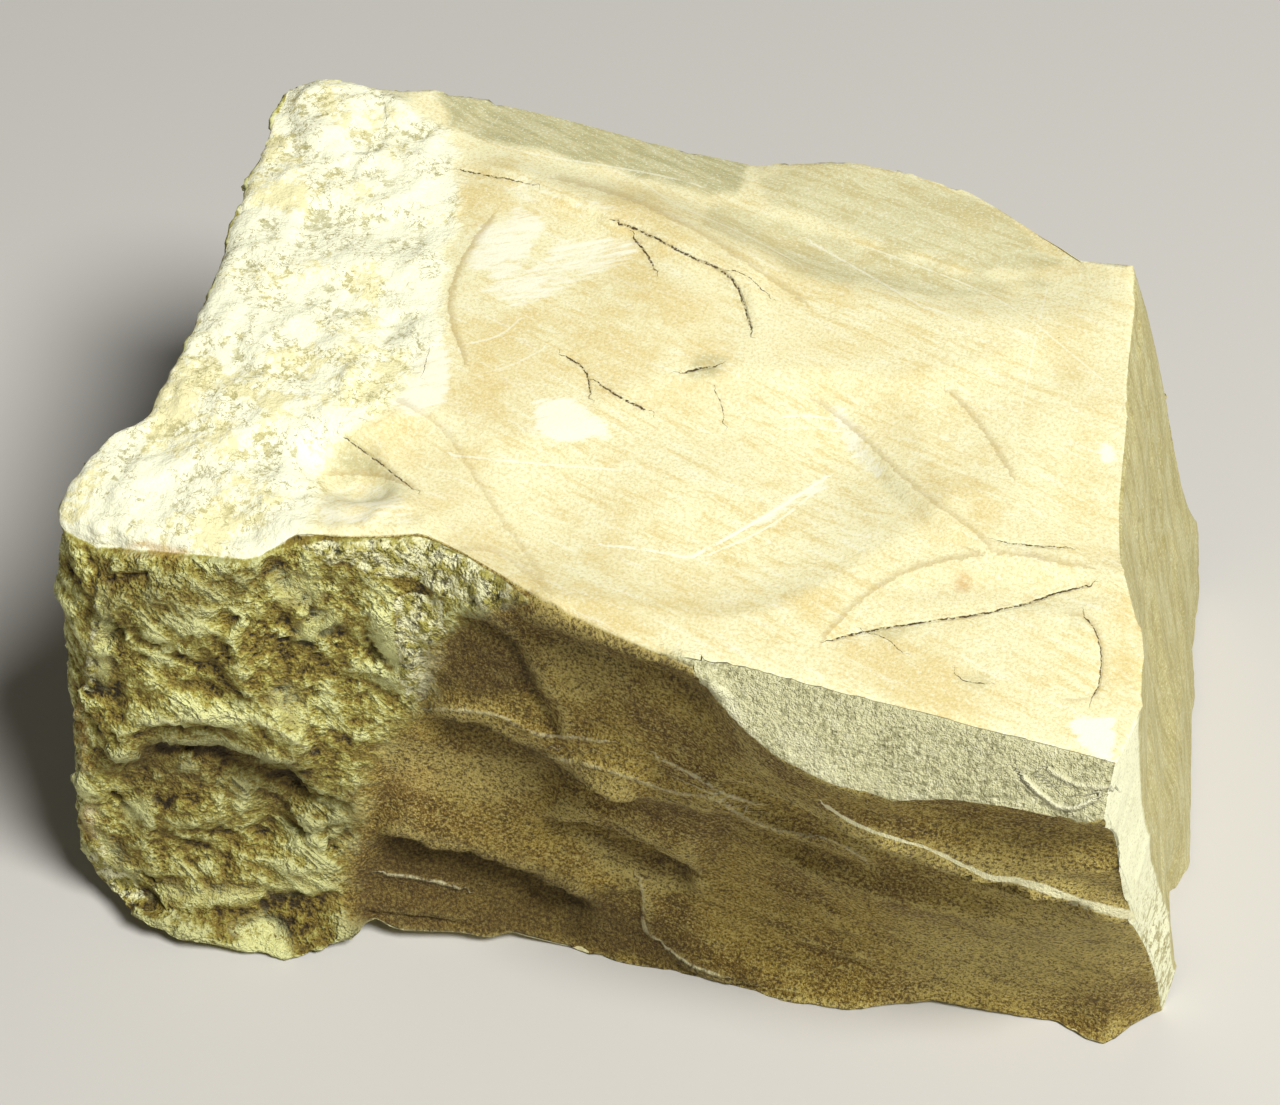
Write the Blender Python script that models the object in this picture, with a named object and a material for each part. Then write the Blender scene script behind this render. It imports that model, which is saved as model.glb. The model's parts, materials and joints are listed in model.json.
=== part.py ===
"""A magnesite specimen: one block of dense, porcelain-like magnesite with a rough, crumbly crust at its left end.

The block is worked out the way such a stone is made. Six curved faces share twelve edges, planes and shallow
ellipsoids then take flakes off it, ledges step out of it, and lumps cover the crust. It rests on flat spots at
height 0. All working sizes are in millimetres, with +X along the block, +Y to its back and +Z up.
"""

import math

import bpy
import numpy as np

MM = 0.001
X, Y, Z = 0, 1, 2

# Driving dimensions, in millimetres
SEEN_WIDTH = 114.5
TOP_HEIGHT = 55.0
CRUST_LUMP = 1.5
CRUST_EDGE_WEAR = 1.8
SMOOTH_SWELL = 0.4
BREAK_WANDER = 1.7
GRID_STEP = 1.25
EDGE_JOG_SPREAD = 6.0
BLOCK_MIDDLE = np.array([4.9, -3.5, 0.0])

# What the finished solid is made of
FACES_KEPT = 9000
STONE_COLOUR = (0.86, 0.78, 0.58, 1.0)
STONE_ROUGHNESS = 0.72
NODE_NAME = "magnesite_block"

# The visible outlines were measured along lines of sight. A pick is (steps right, steps down, one known coordinate),
# in a view of 1280 by 1105 steps from the front right and above.
VIEW_AZIMUTH = math.radians(14.0)
VIEW_ELEVATION = math.radians(45.0)
VIEW_MIDDLE = (640.0, 552.5)
BLOCK_STEPS_WIDE = 1145.0
FOCAL_STEPS = 3200.0
STEP = SEEN_WIDTH / BLOCK_STEPS_WIDE
VIEW_TARGET = np.array([0.0, 0.0, TOP_HEIGHT / 2])
SIGHT_RIGHT = np.array([math.cos(VIEW_AZIMUTH), math.sin(VIEW_AZIMUTH), 0.0])
SIGHT_BACK = np.array([
    math.sin(VIEW_AZIMUTH) * math.cos(VIEW_ELEVATION),
    -math.cos(VIEW_AZIMUTH) * math.cos(VIEW_ELEVATION),
    math.sin(VIEW_ELEVATION),
])
SIGHT_UP = np.cross(SIGHT_BACK, SIGHT_RIGHT)


def sight(picks, axis):
    """Points where lines of sight cross planes. Each pick holds steps right, steps down and its coordinate on axis."""
    picks = np.array(picks, float)
    eye = VIEW_TARGET + SIGHT_BACK * FOCAL_STEPS * STEP
    right = (picks[:, 0] - VIEW_MIDDLE[0]) / FOCAL_STEPS
    down = (picks[:, 1] - VIEW_MIDDLE[1]) / FOCAL_STEPS
    rays = np.outer(right, SIGHT_RIGHT) - np.outer(down, SIGHT_UP) - SIGHT_BACK
    reach = (picks[:, 2] - eye[axis]) / rays[:, axis]
    return eye + rays * reach[:, None]


# The eight corners. The front right top corner is the one that the grey facet and the pale strip later take off.
FRONT_LEFT_TOP = sight([(87, 552, 53.0)], Z)[0]
BACK_LEFT_TOP = sight([(290, 83, 56.0)], Z)[0]
BACK_RIGHT_TOP = sight([(1132, 267, 55.0)], Z)[0]
FRONT_RIGHT_TOP = np.array([50.9, -46.8, 55.0])
FRONT_LEFT_LOW = sight([(128, 908, 4.0)], Z)[0]
FRONT_RIGHT_LOW = sight([(1162, 1010, 0.0)], Z)[0]
BACK_LEFT_LOW = np.array([-43.0, 29.0, 3.0])
BACK_RIGHT_LOW = np.array([54.5, 36.0, 1.0])

# The twelve edges, each from its left, front or low end to the other
TOP_FRONT_RUN = [
    (130, 551, 53.0), (200, 556, 53.5), (262, 563, 53.5), (285, 545, 54.0), (302, 532, 54.5), (350, 536, 54.5),
    (425, 536, 54.5), (455, 548, 54.5), (510, 580, 54.5), (545, 600, 54.5), (600, 622, 55.0), (650, 642, 55.0),
    (700, 657, 55.0),
]
TOP_FRONT_BULGE = [(19.0, -45.5, 55.0), (30.0, -49.3, 55.0), (42.0, -48.3, 55.0)]
TOP_BACK_RUN = [
    (345, 79, 56.0), (372, 87, 55.5), (430, 92, 55.0), (490, 98, 54.0), (505, 106, 53.5), (560, 120, 53.0),
    (640, 141, 52.0), (700, 155, 51.5), (757, 168, 51.0), (790, 163, 51.5), (830, 160, 52.0), (870, 163, 52.0),
    (920, 172, 52.0), (970, 193, 52.0), (1020, 222, 52.5), (1066, 246, 53.5), (1075, 262, 54.5), (1105, 264, 55.0),
]
TOP_LEFT_RUN = [
    (60, 532, 52.0), (60, 508, 52.5), (70, 480, 53.5), (105, 435, 54.0), (150, 416, 54.5), (160, 395, 54.5),
    (190, 341, 55.0), (200, 305, 55.0), (218, 296, 55.0), (222, 262, 55.0), (240, 210, 55.0), (262, 150, 55.5),
    (275, 105, 56.0),
]
TOP_RIGHT_RUN = [
    (1141, 709, 55.0), (1144, 656, 55.0), (1141, 630, 55.0), (1131, 606, 55.0), (1121, 560, 55.0),
    (1120, 500, 55.0), (1127, 420, 55.0), (1127, 386, 55.0), (1131, 330, 55.0), (1134, 292, 55.0),
]
LOW_FRONT_RUN = [
    (150, 927, 3.5), (185, 941, 2.0), (235, 954, 0.8), (300, 966, 0.0), (333, 955, 0.5), (357, 931, 2.5), (374, 923, 3.0),
    (400, 933, 2.0), (490, 938, 1.5), (515, 932, 2.0), (560, 945, 1.0), (640, 964, 0.5), (700, 976, 0.5),
    (780, 1000, 0.0), (850, 1013, 0.0), (930, 1001, 0.8), (1000, 1015, 0.2), (1055, 1023, 0.0), (1085, 1041, 0.0),
    (1105, 1048, 0.0), (1130, 1026, 0.3), (1152, 1013, 0.3),
]
LOW_RIGHT_RUN = [
    (1177, 985, 1.0), (1171, 930, 3.0), (1164, 896, 4.0), (1173, 887, 2.5), (1188, 868, 1.0), (1190, 800, 1.0),
    (1190, 712, 1.0), (1195, 700, 1.0), (1193, 650, 1.0), (1200, 590, 1.0),
]
FRONT_LEFT_RUN = [
    (115, 880, -34.5), (105, 820, -35.0), (99, 765, -35.5), (95, 720, -36.0), (94, 682, -36.0), (104, 650, -36.5),
    (114, 625, -36.5), (103, 587, -36.8),
]
FRONT_RIGHT_RUN = [
    (1161, 985, -24.6), (1161, 952, -27.5), (1150, 928, -31.5), (1142, 912, -34.5), (1131, 869, -38.5),
    (1121, 819, -42.5),
]
BACK_RIGHT_RUN = [(1196, 530, 10.0), (1187, 485, 18.0), (1178, 440, 27.0), (1160, 370, 39.0), (1145, 310, 49.0)]


def edge(start, middle, end):
    """One edge as an array of points, with its two corners."""
    return np.vstack([start, *middle, end])


TOP_FRONT = edge(FRONT_LEFT_TOP, [sight(TOP_FRONT_RUN, Z), TOP_FRONT_BULGE], FRONT_RIGHT_TOP)
TOP_BACK = edge(BACK_LEFT_TOP, [sight(TOP_BACK_RUN, Z)], BACK_RIGHT_TOP)
TOP_LEFT = edge(FRONT_LEFT_TOP, [sight(TOP_LEFT_RUN, Z)], BACK_LEFT_TOP)
TOP_RIGHT = edge(FRONT_RIGHT_TOP, [sight(TOP_RIGHT_RUN, Z)], BACK_RIGHT_TOP)
LOW_FRONT = edge(FRONT_LEFT_LOW, [sight(LOW_FRONT_RUN, Z)], FRONT_RIGHT_LOW)
LOW_BACK = edge(BACK_LEFT_LOW, [[(-24.0, 33.0, 1.5), (2.0, 36.5, 0.5), (30.0, 35.5, 1.5)]], BACK_RIGHT_LOW)
LOW_LEFT = edge(FRONT_LEFT_LOW, [[(-45.5, -24.0, 4.0), (-46.5, -6.0, 2.0), (-45.5, 14.0, 2.5)]], BACK_LEFT_LOW)
LOW_RIGHT = edge(FRONT_RIGHT_LOW, [sight(LOW_RIGHT_RUN, Z)], BACK_RIGHT_LOW)
FRONT_LEFT = edge(FRONT_LEFT_LOW, [sight(FRONT_LEFT_RUN, Y)], FRONT_LEFT_TOP)
FRONT_RIGHT = edge(FRONT_RIGHT_LOW, [sight(FRONT_RIGHT_RUN, Y)], FRONT_RIGHT_TOP)
BACK_LEFT = edge(BACK_LEFT_LOW, [[(-46.0, 32.0, 20.0), (-47.0, 32.5, 40.0)]], BACK_LEFT_TOP)
BACK_RIGHT = edge(BACK_RIGHT_LOW, [sight(BACK_RIGHT_RUN, Z)], BACK_RIGHT_TOP)


# Grid arithmetic: each face is a surface of two parameters, both running from 0 to 1
def resample(curve, count):
    """The points that cut a run of straight pieces into count equal lengths."""
    lengths = np.linalg.norm(np.diff(curve, axis=0), axis=1)
    travelled = np.concatenate([[0.0], np.cumsum(lengths)])
    wanted = np.linspace(0.0, travelled[-1], count + 1)
    return np.column_stack([np.interp(wanted, travelled, curve[:, axis]) for axis in range(3)])


def smoothed(curve, window):
    """The curve's broad run: a Gaussian average along it, shifted so that both ends stay where they are."""
    t = np.linspace(0.0, 1.0, len(curve))
    weights = np.exp(-(((t[:, None] - t[None, :]) / window) ** 2))
    broad = (weights @ curve) / weights.sum(axis=1)[:, None]
    return broad + (1 - t)[:, None] * (curve[0] - broad[0]) + t[:, None] * (curve[-1] - broad[-1])


def face(low, high, left, right, window=0.12):
    """A Coons patch: the broad runs of four edges blended across it, plus each edge's jogs, which die out inwards."""
    u = np.linspace(0.0, 1.0, len(low))[None, :, None]
    v = np.linspace(0.0, 1.0, len(left))[:, None, None]
    runs = [smoothed(curve, window) for curve in (low, high, left, right)]
    jogs = [curve - run for curve, run in zip((low, high, left, right), runs)]
    corners = (1 - u) * (1 - v) * low[0] + u * (1 - v) * low[-1] + (1 - u) * v * high[0] + u * v * high[-1]
    surface = (1 - v) * runs[0][None] + v * runs[1][None] + (1 - u) * runs[2][:, None] + u * runs[3][:, None] - corners
    tall = np.linalg.norm(high - low, axis=1).mean()
    wide = np.linalg.norm(right - left, axis=1).mean()
    for jog, away, size in zip(jogs, (v, 1 - v, u, 1 - u), (tall, tall, wide, wide)):
        fade = np.exp(-away * size / EDGE_JOG_SPREAD) * (1 - away)
        surface = surface + fade * (jog[None] if size == tall else jog[:, None])
    return surface


def block_grid(step):
    """The six faces on one lattice, as (points, four-cornered faces) with every edge and corner shared."""
    counts = [round(size / step) for size in (106.0, 72.0, 56.0)]
    nx, ny, nz = counts
    edges_x = [resample(curve, nx) for curve in (LOW_FRONT, TOP_FRONT, LOW_BACK, TOP_BACK)]
    edges_y = [resample(curve, ny) for curve in (LOW_LEFT, LOW_RIGHT, TOP_LEFT, TOP_RIGHT)]
    edges_z = [resample(curve, nz) for curve in (FRONT_LEFT, FRONT_RIGHT, BACK_LEFT, BACK_RIGHT)]
    patches = [
        (face(edges_x[0], edges_x[1], edges_z[0], edges_z[1]), X, Z, Y, 0, False),
        (face(edges_x[2], edges_x[3], edges_z[2], edges_z[3]), X, Z, Y, ny, True),
        (face(edges_x[1], edges_x[3], edges_y[2], edges_y[3]), X, Y, Z, nz, False),
        (face(edges_x[0], edges_x[2], edges_y[0], edges_y[1]), X, Y, Z, 0, True),
        (face(edges_y[1], edges_y[3], edges_z[1], edges_z[3], 0.05), Y, Z, X, nx, False),
        (face(edges_y[0], edges_y[2], edges_z[0], edges_z[2]), Y, Z, X, 0, True),
    ]
    keys, points, quads, start = [], [], [], 0
    for surface, across, up, fixed, at, turned in patches:
        rows, columns = surface.shape[:2]
        lattice = np.zeros((rows, columns, 3), int)
        lattice[..., across] = np.arange(columns)[None, :]
        lattice[..., up] = np.arange(rows)[:, None]
        lattice[..., fixed] = at
        keys.append(((lattice[..., 0] * (ny + 1) + lattice[..., 1]) * (nz + 1) + lattice[..., 2]).ravel())
        points.append(surface.reshape(-1, 3))
        index = start + np.arange(rows * columns).reshape(rows, columns)
        ring = [index[:-1, :-1], index[:-1, 1:], index[1:, 1:], index[1:, :-1]]
        quads.append(np.stack(ring[::-1] if turned else ring, axis=-1).reshape(-1, 4))
        start += rows * columns
    _, first, shared = np.unique(np.concatenate(keys), return_index=True, return_inverse=True)
    return np.concatenate(points)[first], shared.reshape(-1)[np.concatenate(quads)]


def outward(points, quads):
    """The unit normal at each point: the sum of the normals of the faces around it."""
    corners = points[quads]
    flat = np.cross(corners[:, 2] - corners[:, 0], corners[:, 3] - corners[:, 1])
    total = np.zeros_like(points)
    for axis in range(3):
        for corner in range(4):
            total[:, axis] += np.bincount(quads[:, corner], flat[:, axis], len(points))
    return total / np.maximum(np.linalg.norm(total, axis=1), 1e-12)[:, None]


# Noise: smooth random fields, the same on every run
def noise(points, size, seed):
    """Gradient noise between about -1 and 1: random slopes at the corners of cubes of that size, blended by a quintic."""
    cell = points / size + seed * 17.31
    low = np.floor(cell).astype(int)
    part = cell - low
    ease = part**3 * (part * (part * 6 - 15) + 10)
    slopes = np.random.RandomState(seed).normal(size=(256, 3))
    slopes /= np.linalg.norm(slopes, axis=1)[:, None]
    shuffle = np.random.RandomState(seed + 1).permutation(256)
    total = np.zeros(len(points))
    for corner in np.ndindex(2, 2, 2):
        at = (low + corner) % 256
        pick = shuffle[(shuffle[(shuffle[at[:, 0]] + at[:, 1]) % 256] + at[:, 2]) % 256]
        weight = np.prod(np.where(corner, ease, 1 - ease), axis=1)
        total += weight * ((part - corner) * slopes[pick]).sum(axis=1)
    return total * 1.6


def lumps(points, size, octaves, seed):
    """Rounded lumps with sharp hollows between them: octaves of 1 - |noise|, centred on 0."""
    total = np.zeros(len(points))
    for octave in range(octaves):
        total += (0.45 - np.abs(noise(points, size / 2**octave, seed + octave))) * 0.5**octave
    return total


def rise(value, low, high):
    """0 below low, 1 above high, and a smooth step between."""
    t = np.clip((value - low) / (high - low), 0.0, 1.0)
    return t * t * (3 - 2 * t)


# The crust is the block's left end. Its contact with the dense stone runs round the block: where it lies along X,
# by the angle about the long axis, from the back over the top to the front and below.
CONTACT_TURN = np.radians([-90.0, -45.0, 0.0, 40.0, 60.0, 90.0, 118.0, 135.0, 150.0, 180.0, 210.0, 232.0, 270.0])
CONTACT_X = np.array([-20.0, -24.0, -30.0, -31.0, -23.0, -20.0, -23.5, -11.0, -9.5, -17.0, -19.0, -20.5, -20.0])


def crust_depth(points):
    """How far inside the crust a point is, in mm along X, negative in the dense stone."""
    turn = np.arctan2(points[:, Z] - TOP_HEIGHT / 2, points[:, Y])
    turn = np.where(turn < CONTACT_TURN[0], turn + 2 * math.pi, turn)
    return np.interp(turn, CONTACT_TURN, CONTACT_X) + 1.5 * noise(points, 9.0, 31) - points[:, X]


# Flakes: what a cutter removes is pressed back onto the cutter, and the points beside its rim slide onto the rim
def slid_to_rim(points, quads, signed, slope):
    """Points within half a grid step of the line signed = 0 moved along the surface onto it. slope is its gradient."""
    normals = outward(points, quads)
    along = slope - (slope * normals).sum(axis=1)[:, None] * normals
    steepness = np.maximum((along**2).sum(axis=1), 1e-9)
    spacing = np.linalg.norm(points[quads[:, 1]] - points[quads[:, 0]], axis=1).mean()
    near = np.abs(signed) / np.sqrt(steepness) < 0.45 * spacing
    near &= steepness > 0.05
    shift = -(signed / steepness)[:, None] * along
    return np.where(near[:, None], points + shift, points)


def facet(points, quads, corners):
    """A flat break: everything beyond the plane through three points, seen anticlockwise from outside, is taken off."""
    a, b, c = (np.array(corner, float) for corner in corners)
    normal = np.cross(b - a, c - a)
    normal /= np.linalg.norm(normal)
    points = slid_to_rim(points, quads, (points - a) @ normal, np.broadcast_to(normal, points.shape))
    beyond = np.maximum((points - a) @ normal, 0.0)
    return points - beyond[:, None] * normal


def cap_gap(local):
    """How far a point lies above the floor of a scoop, and whether it lies over the floor at all.

    In units where the footprint's radius is 1 and the depth 1/2, the ball has radius 5/4 and stands 3/4 above."""
    radius = (local[:, :2] ** 2).sum(axis=1)
    return local[:, 2] - 0.75 + np.sqrt(np.maximum(1.25**2 - radius, 0.0)), radius < 1.25**2


def scoop(points, quads, wander, middle, facing, along, half_long, half_wide, depth):
    """A shell-like break: the footprint is an ellipse round middle, and the floor a cap of an ellipsoid that deep.

    wander is added to the places before they are measured, so that the rim isn't a true ellipse."""
    facing = np.array(facing, float) / np.linalg.norm(facing)
    along = np.array(along, float) - np.dot(along, facing) * facing
    along /= np.linalg.norm(along)
    frame = np.array([along, np.cross(facing, along), facing])
    size = np.array([half_long, half_wide, 2 * depth])
    local = (points + wander - middle) @ frame.T / size
    gap, inside = cap_gap(local)
    reach = np.sqrt(np.maximum(1.25**2 - (local[:, :2] ** 2).sum(axis=1), 0.05))
    slope = np.column_stack([-local[:, :2] / reach[:, None], np.ones(len(local))]) / size
    length = np.linalg.norm(slope, axis=1)
    signed = np.where(inside & (np.abs(local[:, 2]) < 1.2), gap / length, 1e3)
    points = slid_to_rim(points, quads, signed, (slope / length[:, None]) @ frame)
    local = (points + wander - middle) @ frame.T / size
    gap, inside = cap_gap(local)
    off = np.where(inside & (local[:, 2] < 3.0), np.maximum(gap, 0.0), 0.0) * size[2]
    return points - off[:, None] * facing


def from_line(flat, line):
    """For places in a plane: the signed distance in mm to a run of straight pieces, positive on its left, tapering
    past its ends as the plain distance does."""
    best = np.full(len(flat), 1e9)
    signed = np.zeros(len(flat))
    for a, b in zip(line[:-1], line[1:]):
        run = b - a
        t = np.clip(((flat - a) @ run) / (run @ run), 0.0, 1.0)
        gap = flat - (a + t[:, None] * run)
        distance = np.linalg.norm(gap, axis=1)
        side = np.where(run[0] * gap[:, 1] - run[1] * gap[:, 0] >= 0, 1.0, -1.0)
        signed = np.where(distance < best, side * distance, signed)
        best = np.minimum(best, distance)
    return signed


def ledge(points, quads, line, plane, facing, height, fade):
    """A lip that steps out of a face on the line's left side and fades over some mm, over a hollow on its right.

    The step takes one and a half grid cells, and it dies out over a tenth of the line's length at either end."""
    facing = np.array(facing, float) / np.linalg.norm(facing)
    reach = points @ facing
    on_face = (outward(points, quads) @ facing > 0.2) & (reach > (reach.min() + reach.max()) / 2)
    flat, line = points[:, plane], np.array(line, float)[:, plane]
    signed = from_line(flat, line)
    spacing = np.linalg.norm(points[quads[:, 1]] - points[quads[:, 0]], axis=1).mean()
    chord = line[-1] - line[0]
    share = (flat - line[0]) @ chord / (chord @ chord)
    lip = rise(share, 0.0, 0.1) * rise(1 - share, 0.0, 0.1)
    step = rise(signed, -0.75 * spacing, 0.75 * spacing)
    profile = (step - 0.4) * np.exp(-np.abs(signed) / fade)
    return points + np.where(on_face, height * lip * profile, 0.0)[:, None] * facing


# Directions
FRONT = (0.0, -1.0, 0.0)
UP = (0.0, 0.0, 1.0)


def front(right, down, depth):
    """A place on the front face: steps right, steps down, and how far forward it lies in mm."""
    return sight([(right, down, -depth)], Y)[0]


def top(right, down, height=TOP_HEIGHT):
    """A place on the top face: steps right, steps down, and its height in mm."""
    return sight([(right, down, height)], Z)[0]


# Flat breaks, as three corners: the grey facet along the front of the top, and the strip down the front right corner
FLAT_BREAKS = [
    (top(706, 657), top(855, 821, 45.5), top(1112, 768, 54.6)),
    (top(1113, 767), top(1162, 1008, 0.0), top(1141, 709)),
]
# Shell-like breaks, as middle, the direction they face, their long direction, half length, half width and depth
TOP_BREAKS = [
    (top(700, 470), (0.0, -0.02, 1.0), (1, 0.2, 0), 26, 17, 1.3),
    (top(1010, 430), (0.05, 0.0, 1.0), (1, -0.9, 0), 17, 11, 0.9),
    (top(960, 600), (0.0, 0.12, 1.0), (1, 0.3, 0), 12.5, 4.0, 1.2),
    (top(372, 470), (-0.35, -0.2, 1.0), (1, -0.5, 0), 6.0, 3.2, 1.0),
]
FRONT_BREAKS = [
    ((50.0, -41.5, 41.5), (0.05, -1.0, -0.25), (1, 0, -0.2), 20, 7.2, 2.2),
    (front(950, 940, 35), (0.05, -1.0, 0.1), (1, 0, -0.45), 27, 11, 1.6),
    (front(585, 680, 37), (0.0, -1.0, -0.35), (1, 0, -0.35), 11, 5.5, 1.7),
    (front(490, 765, 34), (0.0, -1.0, -0.55), (1, 0, -0.1), 8.5, 4.4, 2.6),
    (front(625, 850, 32), (-0.2, -1.0, -0.7), (1, 0, -0.62), 10.5, 3.6, 2.6),
    (front(465, 872, 32), (0.0, -1.0, -0.8), (1, 0, -0.12), 10.5, 3.6, 2.4),
]
CRUST_HOLLOWS = [
    (front(235, 752, 36), (0.0, -1.0, -0.7), (1, 0, 0.02), 11.5, 4.2, 3.4),
    (front(250, 850, 35), (0.1, -1.0, -0.3), (1, 0, 0.3), 8.0, 4.2, 1.8),
    (front(180, 640, 36), (0.0, -1.0, -0.4), (1, 0, 0.0), 7.0, 3.2, 1.3),
    ((-46.5, 6.0, 34.0), (-1.0, 0.1, 0.1), (0, 1, 0.3), 17, 11, 2.6),
    ((-46.0, -8.0, 12.0), (-1.0, -0.1, -0.3), (0, 1, -0.4), 12, 7, 2.2),
    ((-47.0, 22.0, 14.0), (-1.0, 0.3, -0.2), (0, 1, 0.6), 11, 7, 2.2),
]
RIGHT_BREAKS = [
    ((52.5, 2.0, 36.0), (1.0, 0.0, 0.15), (0.1, 1, 0.1), 26, 16, 1.5),
    ((56.5, 24.0, 14.0), (1.0, 0.3, 0.1), (0, 1, 0.3), 17, 10, 1.5),
    ((58.5, -7.5, 11.0), (1.0, -0.2, 0.1), (0, 0.35, 1), 8, 3.0, 0.9),
]
BACK_BREAKS = [
    ((30.0, 34.5, 30.0), (0.2, 1.0, 0.05), (1, 0, 0.35), 30, 24, 4.0),
    ((-14.0, 36.5, 17.0), (-0.1, 1.0, -0.15), (1, 0, -0.3), 25, 15, 3.2),
    ((-8.0, 35.2, 40.0), (0.0, 1.0, 0.1), (1, 0, 0.1), 20, 9, 1.8),
]
# The top falls away to the back behind this crease, and is lifted level in front of it
CREASE = [
    (430, 118), (500, 146), (584, 162), (661, 175), (720, 196), (790, 226), (870, 252), (960, 276), (1060, 286),
    (1125, 290),
]


def levelled(points, quads):
    """The top face in front of the crease, lifted to its full height over a few mm."""
    line = np.array([top(*pick) for pick in CREASE])[:, [X, Y]]
    behind = from_line(points[:, [X, Y]], line)
    lift = np.maximum(TOP_HEIGHT - points[:, Z], 0.0) * rise(-behind, -1.0, 7.0)
    on_top = rise(outward(points, quads)[:, Z], 0.4, 0.6) * rise(points[:, Z], 48.0, 50.0)
    moved = points.copy()
    moved[:, Z] += lift * on_top * rise(points[:, X], -30.0, -18.0)
    return moved


def carved(points, quads):
    """The block with its flat and shell-like breaks taken off, from the largest to the smallest."""
    wander = BREAK_WANDER * np.column_stack([noise(points, 17.0, seed) for seed in (41, 42, 43)])
    for corners in FLAT_BREAKS:
        points = facet(points, quads, corners)
    for shape in BACK_BREAKS + RIGHT_BREAKS + TOP_BREAKS + FRONT_BREAKS + CRUST_HOLLOWS:
        points = scoop(points, quads, wander, *shape)
    return points


def softened(points, quads, share, radius):
    """Points drawn towards the mean of their four neighbours, once or more often, to round edges to about a radius."""
    ends = np.concatenate([quads[:, [0, 1]], quads[:, [1, 2]], quads[:, [2, 3]], quads[:, [3, 0]]])
    counts = np.bincount(ends[:, 0], minlength=len(points))
    spacing = np.linalg.norm(points[ends[:, 1]] - points[ends[:, 0]], axis=1).mean()
    for _ in range(max(1, round((radius / spacing) ** 2))):
        mean = np.column_stack([np.bincount(ends[:, 0], points[ends[:, 1], axis], len(points)) for axis in range(3)])
        points = points + 0.5 * share[:, None] * (mean / counts[:, None] - points)
    return points


# Ledges, as a line of picks with the harder side on its left, how far they step and how soon they fade
FRONT_LEDGES = [
    (((425, 708, 35), (500, 716, 35), (545, 738, 35), (600, 766, 35), (680, 793, 35), (760, 817, 36), (850, 850, 37)),
     2.6, 5.0),
    (((1150, 922, 37), (1060, 895, 39), (1000, 880, 40), (930, 855, 42), (862, 826, 44), (820, 815, 44)), 1.8, 2.6),
    (((125, 745, 36), (160, 722, 36), (230, 712, 36), (300, 735, 36), (345, 740, 36)), 2.6, 3.5),
    (((140, 900, 35), (200, 880, 35), (260, 890, 35), (330, 882, 35)), 1.8, 3.0),
    (((640, 882, 31), (646, 900, 31), (644, 926, 31), (668, 945, 31), (700, 966, 31)), 0.8, 2.5),
]
TOP_LEDGES = [
    (((470, 165), (560, 195), (630, 228), (700, 262), (745, 285), (755, 330)), 1.0, 5.0),
    (((825, 405), (870, 455), (920, 515), (990, 553), (1085, 580)), 0.8, 4.0),
    (((311, 81), (295, 103), (300, 124), (308, 146), (345, 160)), 1.2, 3.0),
    (((289, 245), (295, 226), (308, 210), (345, 197)), 1.2, 3.0),
]


def stepped(points, quads):
    """The ledges: lips of harder stone that catch the light on the front and on the top."""
    for picks, height, fade in FRONT_LEDGES:
        points = ledge(points, quads, [front(*pick) for pick in picks], [X, Z], FRONT, height, fade)
    for picks, height, fade in TOP_LEDGES:
        points = ledge(points, quads, [top(*pick) for pick in picks], [X, Y], UP, height, fade)
    return softened(points, quads, np.full(len(points), 0.6), 0.0)


def weathered(points, quads):
    """Worn edges and lumps on the crust, and a faint swell on the dense stone, along the outward direction."""
    crust = rise(crust_depth(points), -0.5, 2.5)
    points = softened(points, quads, crust, CRUST_EDGE_WEAR)
    rough = CRUST_LUMP * lumps(points * (1.0, 1.0, 1.3), 11.0, 3, 5)
    swell = SMOOTH_SWELL * noise(points, 16.0, 12)
    return points + (crust * rough + (1 - crust) * swell)[:, None] * outward(points, quads)


# The left end's front corner stands out to the left as a blunt pillar, by height and mm
PILLAR_HEIGHTS = [0.0, 5.0, 12.0, 18.0, 26.0, 36.0, 43.0, 49.0, 54.0]
PILLAR_REACH = [0.8, 2.2, 3.4, 3.2, 2.0, 2.3, 4.0, 3.0, 0.0]


def swollen(points):
    """The left end with its pillar: a bell-shaped bulge along Y, by height."""
    bell = np.exp(-(((points[:, Y] + 31.5) / 5.0) ** 2))
    reach = np.interp(points[:, Z], PILLAR_HEIGHTS, PILLAR_REACH)
    moved = points.copy()
    moved[:, X] -= bell * reach * rise(-points[:, X], 37.5, 41.0)
    return moved


def resting(points):
    """The underside, dropped a little towards its middle and cut off flat at height 0."""
    reach = ((points[:, X] - 4.0) / 52.0) ** 2 + ((points[:, Y] - 1.0) / 34.0) ** 2
    under = rise(8.0 - points[:, Z], 0.0, 6.0)
    moved = points.copy()
    moved[:, Z] -= 3.4 * under * np.maximum(1 - reach, 0.0)
    moved[:, Z] = np.maximum(moved[:, Z], 0.0)
    return moved


def specimen_points(step):
    """The whole block at a grid step: (points in mm, four-cornered faces)."""
    points, quads = block_grid(step)
    points = levelled(swollen(points), quads)
    points = carved(points, quads)
    points = stepped(points, quads)
    points = weathered(points, quads)
    return resting(points) - BLOCK_MIDDLE, quads


# Blender objects
def stone_material():
    material = bpy.data.materials.new("magnesite")
    material.use_nodes = True
    shader = material.node_tree.nodes["Principled BSDF"]
    shader.inputs["Base Color"].default_value = STONE_COLOUR
    shader.inputs["Roughness"].default_value = STONE_ROUGHNESS
    shader.inputs["Metallic"].default_value = 0.0
    return material


def mesh_from(points, quads, name):
    mesh = bpy.data.meshes.new(name)
    mesh.from_pydata((points * MM).tolist(), [], quads.tolist())
    mesh.update()
    return mesh


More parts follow.
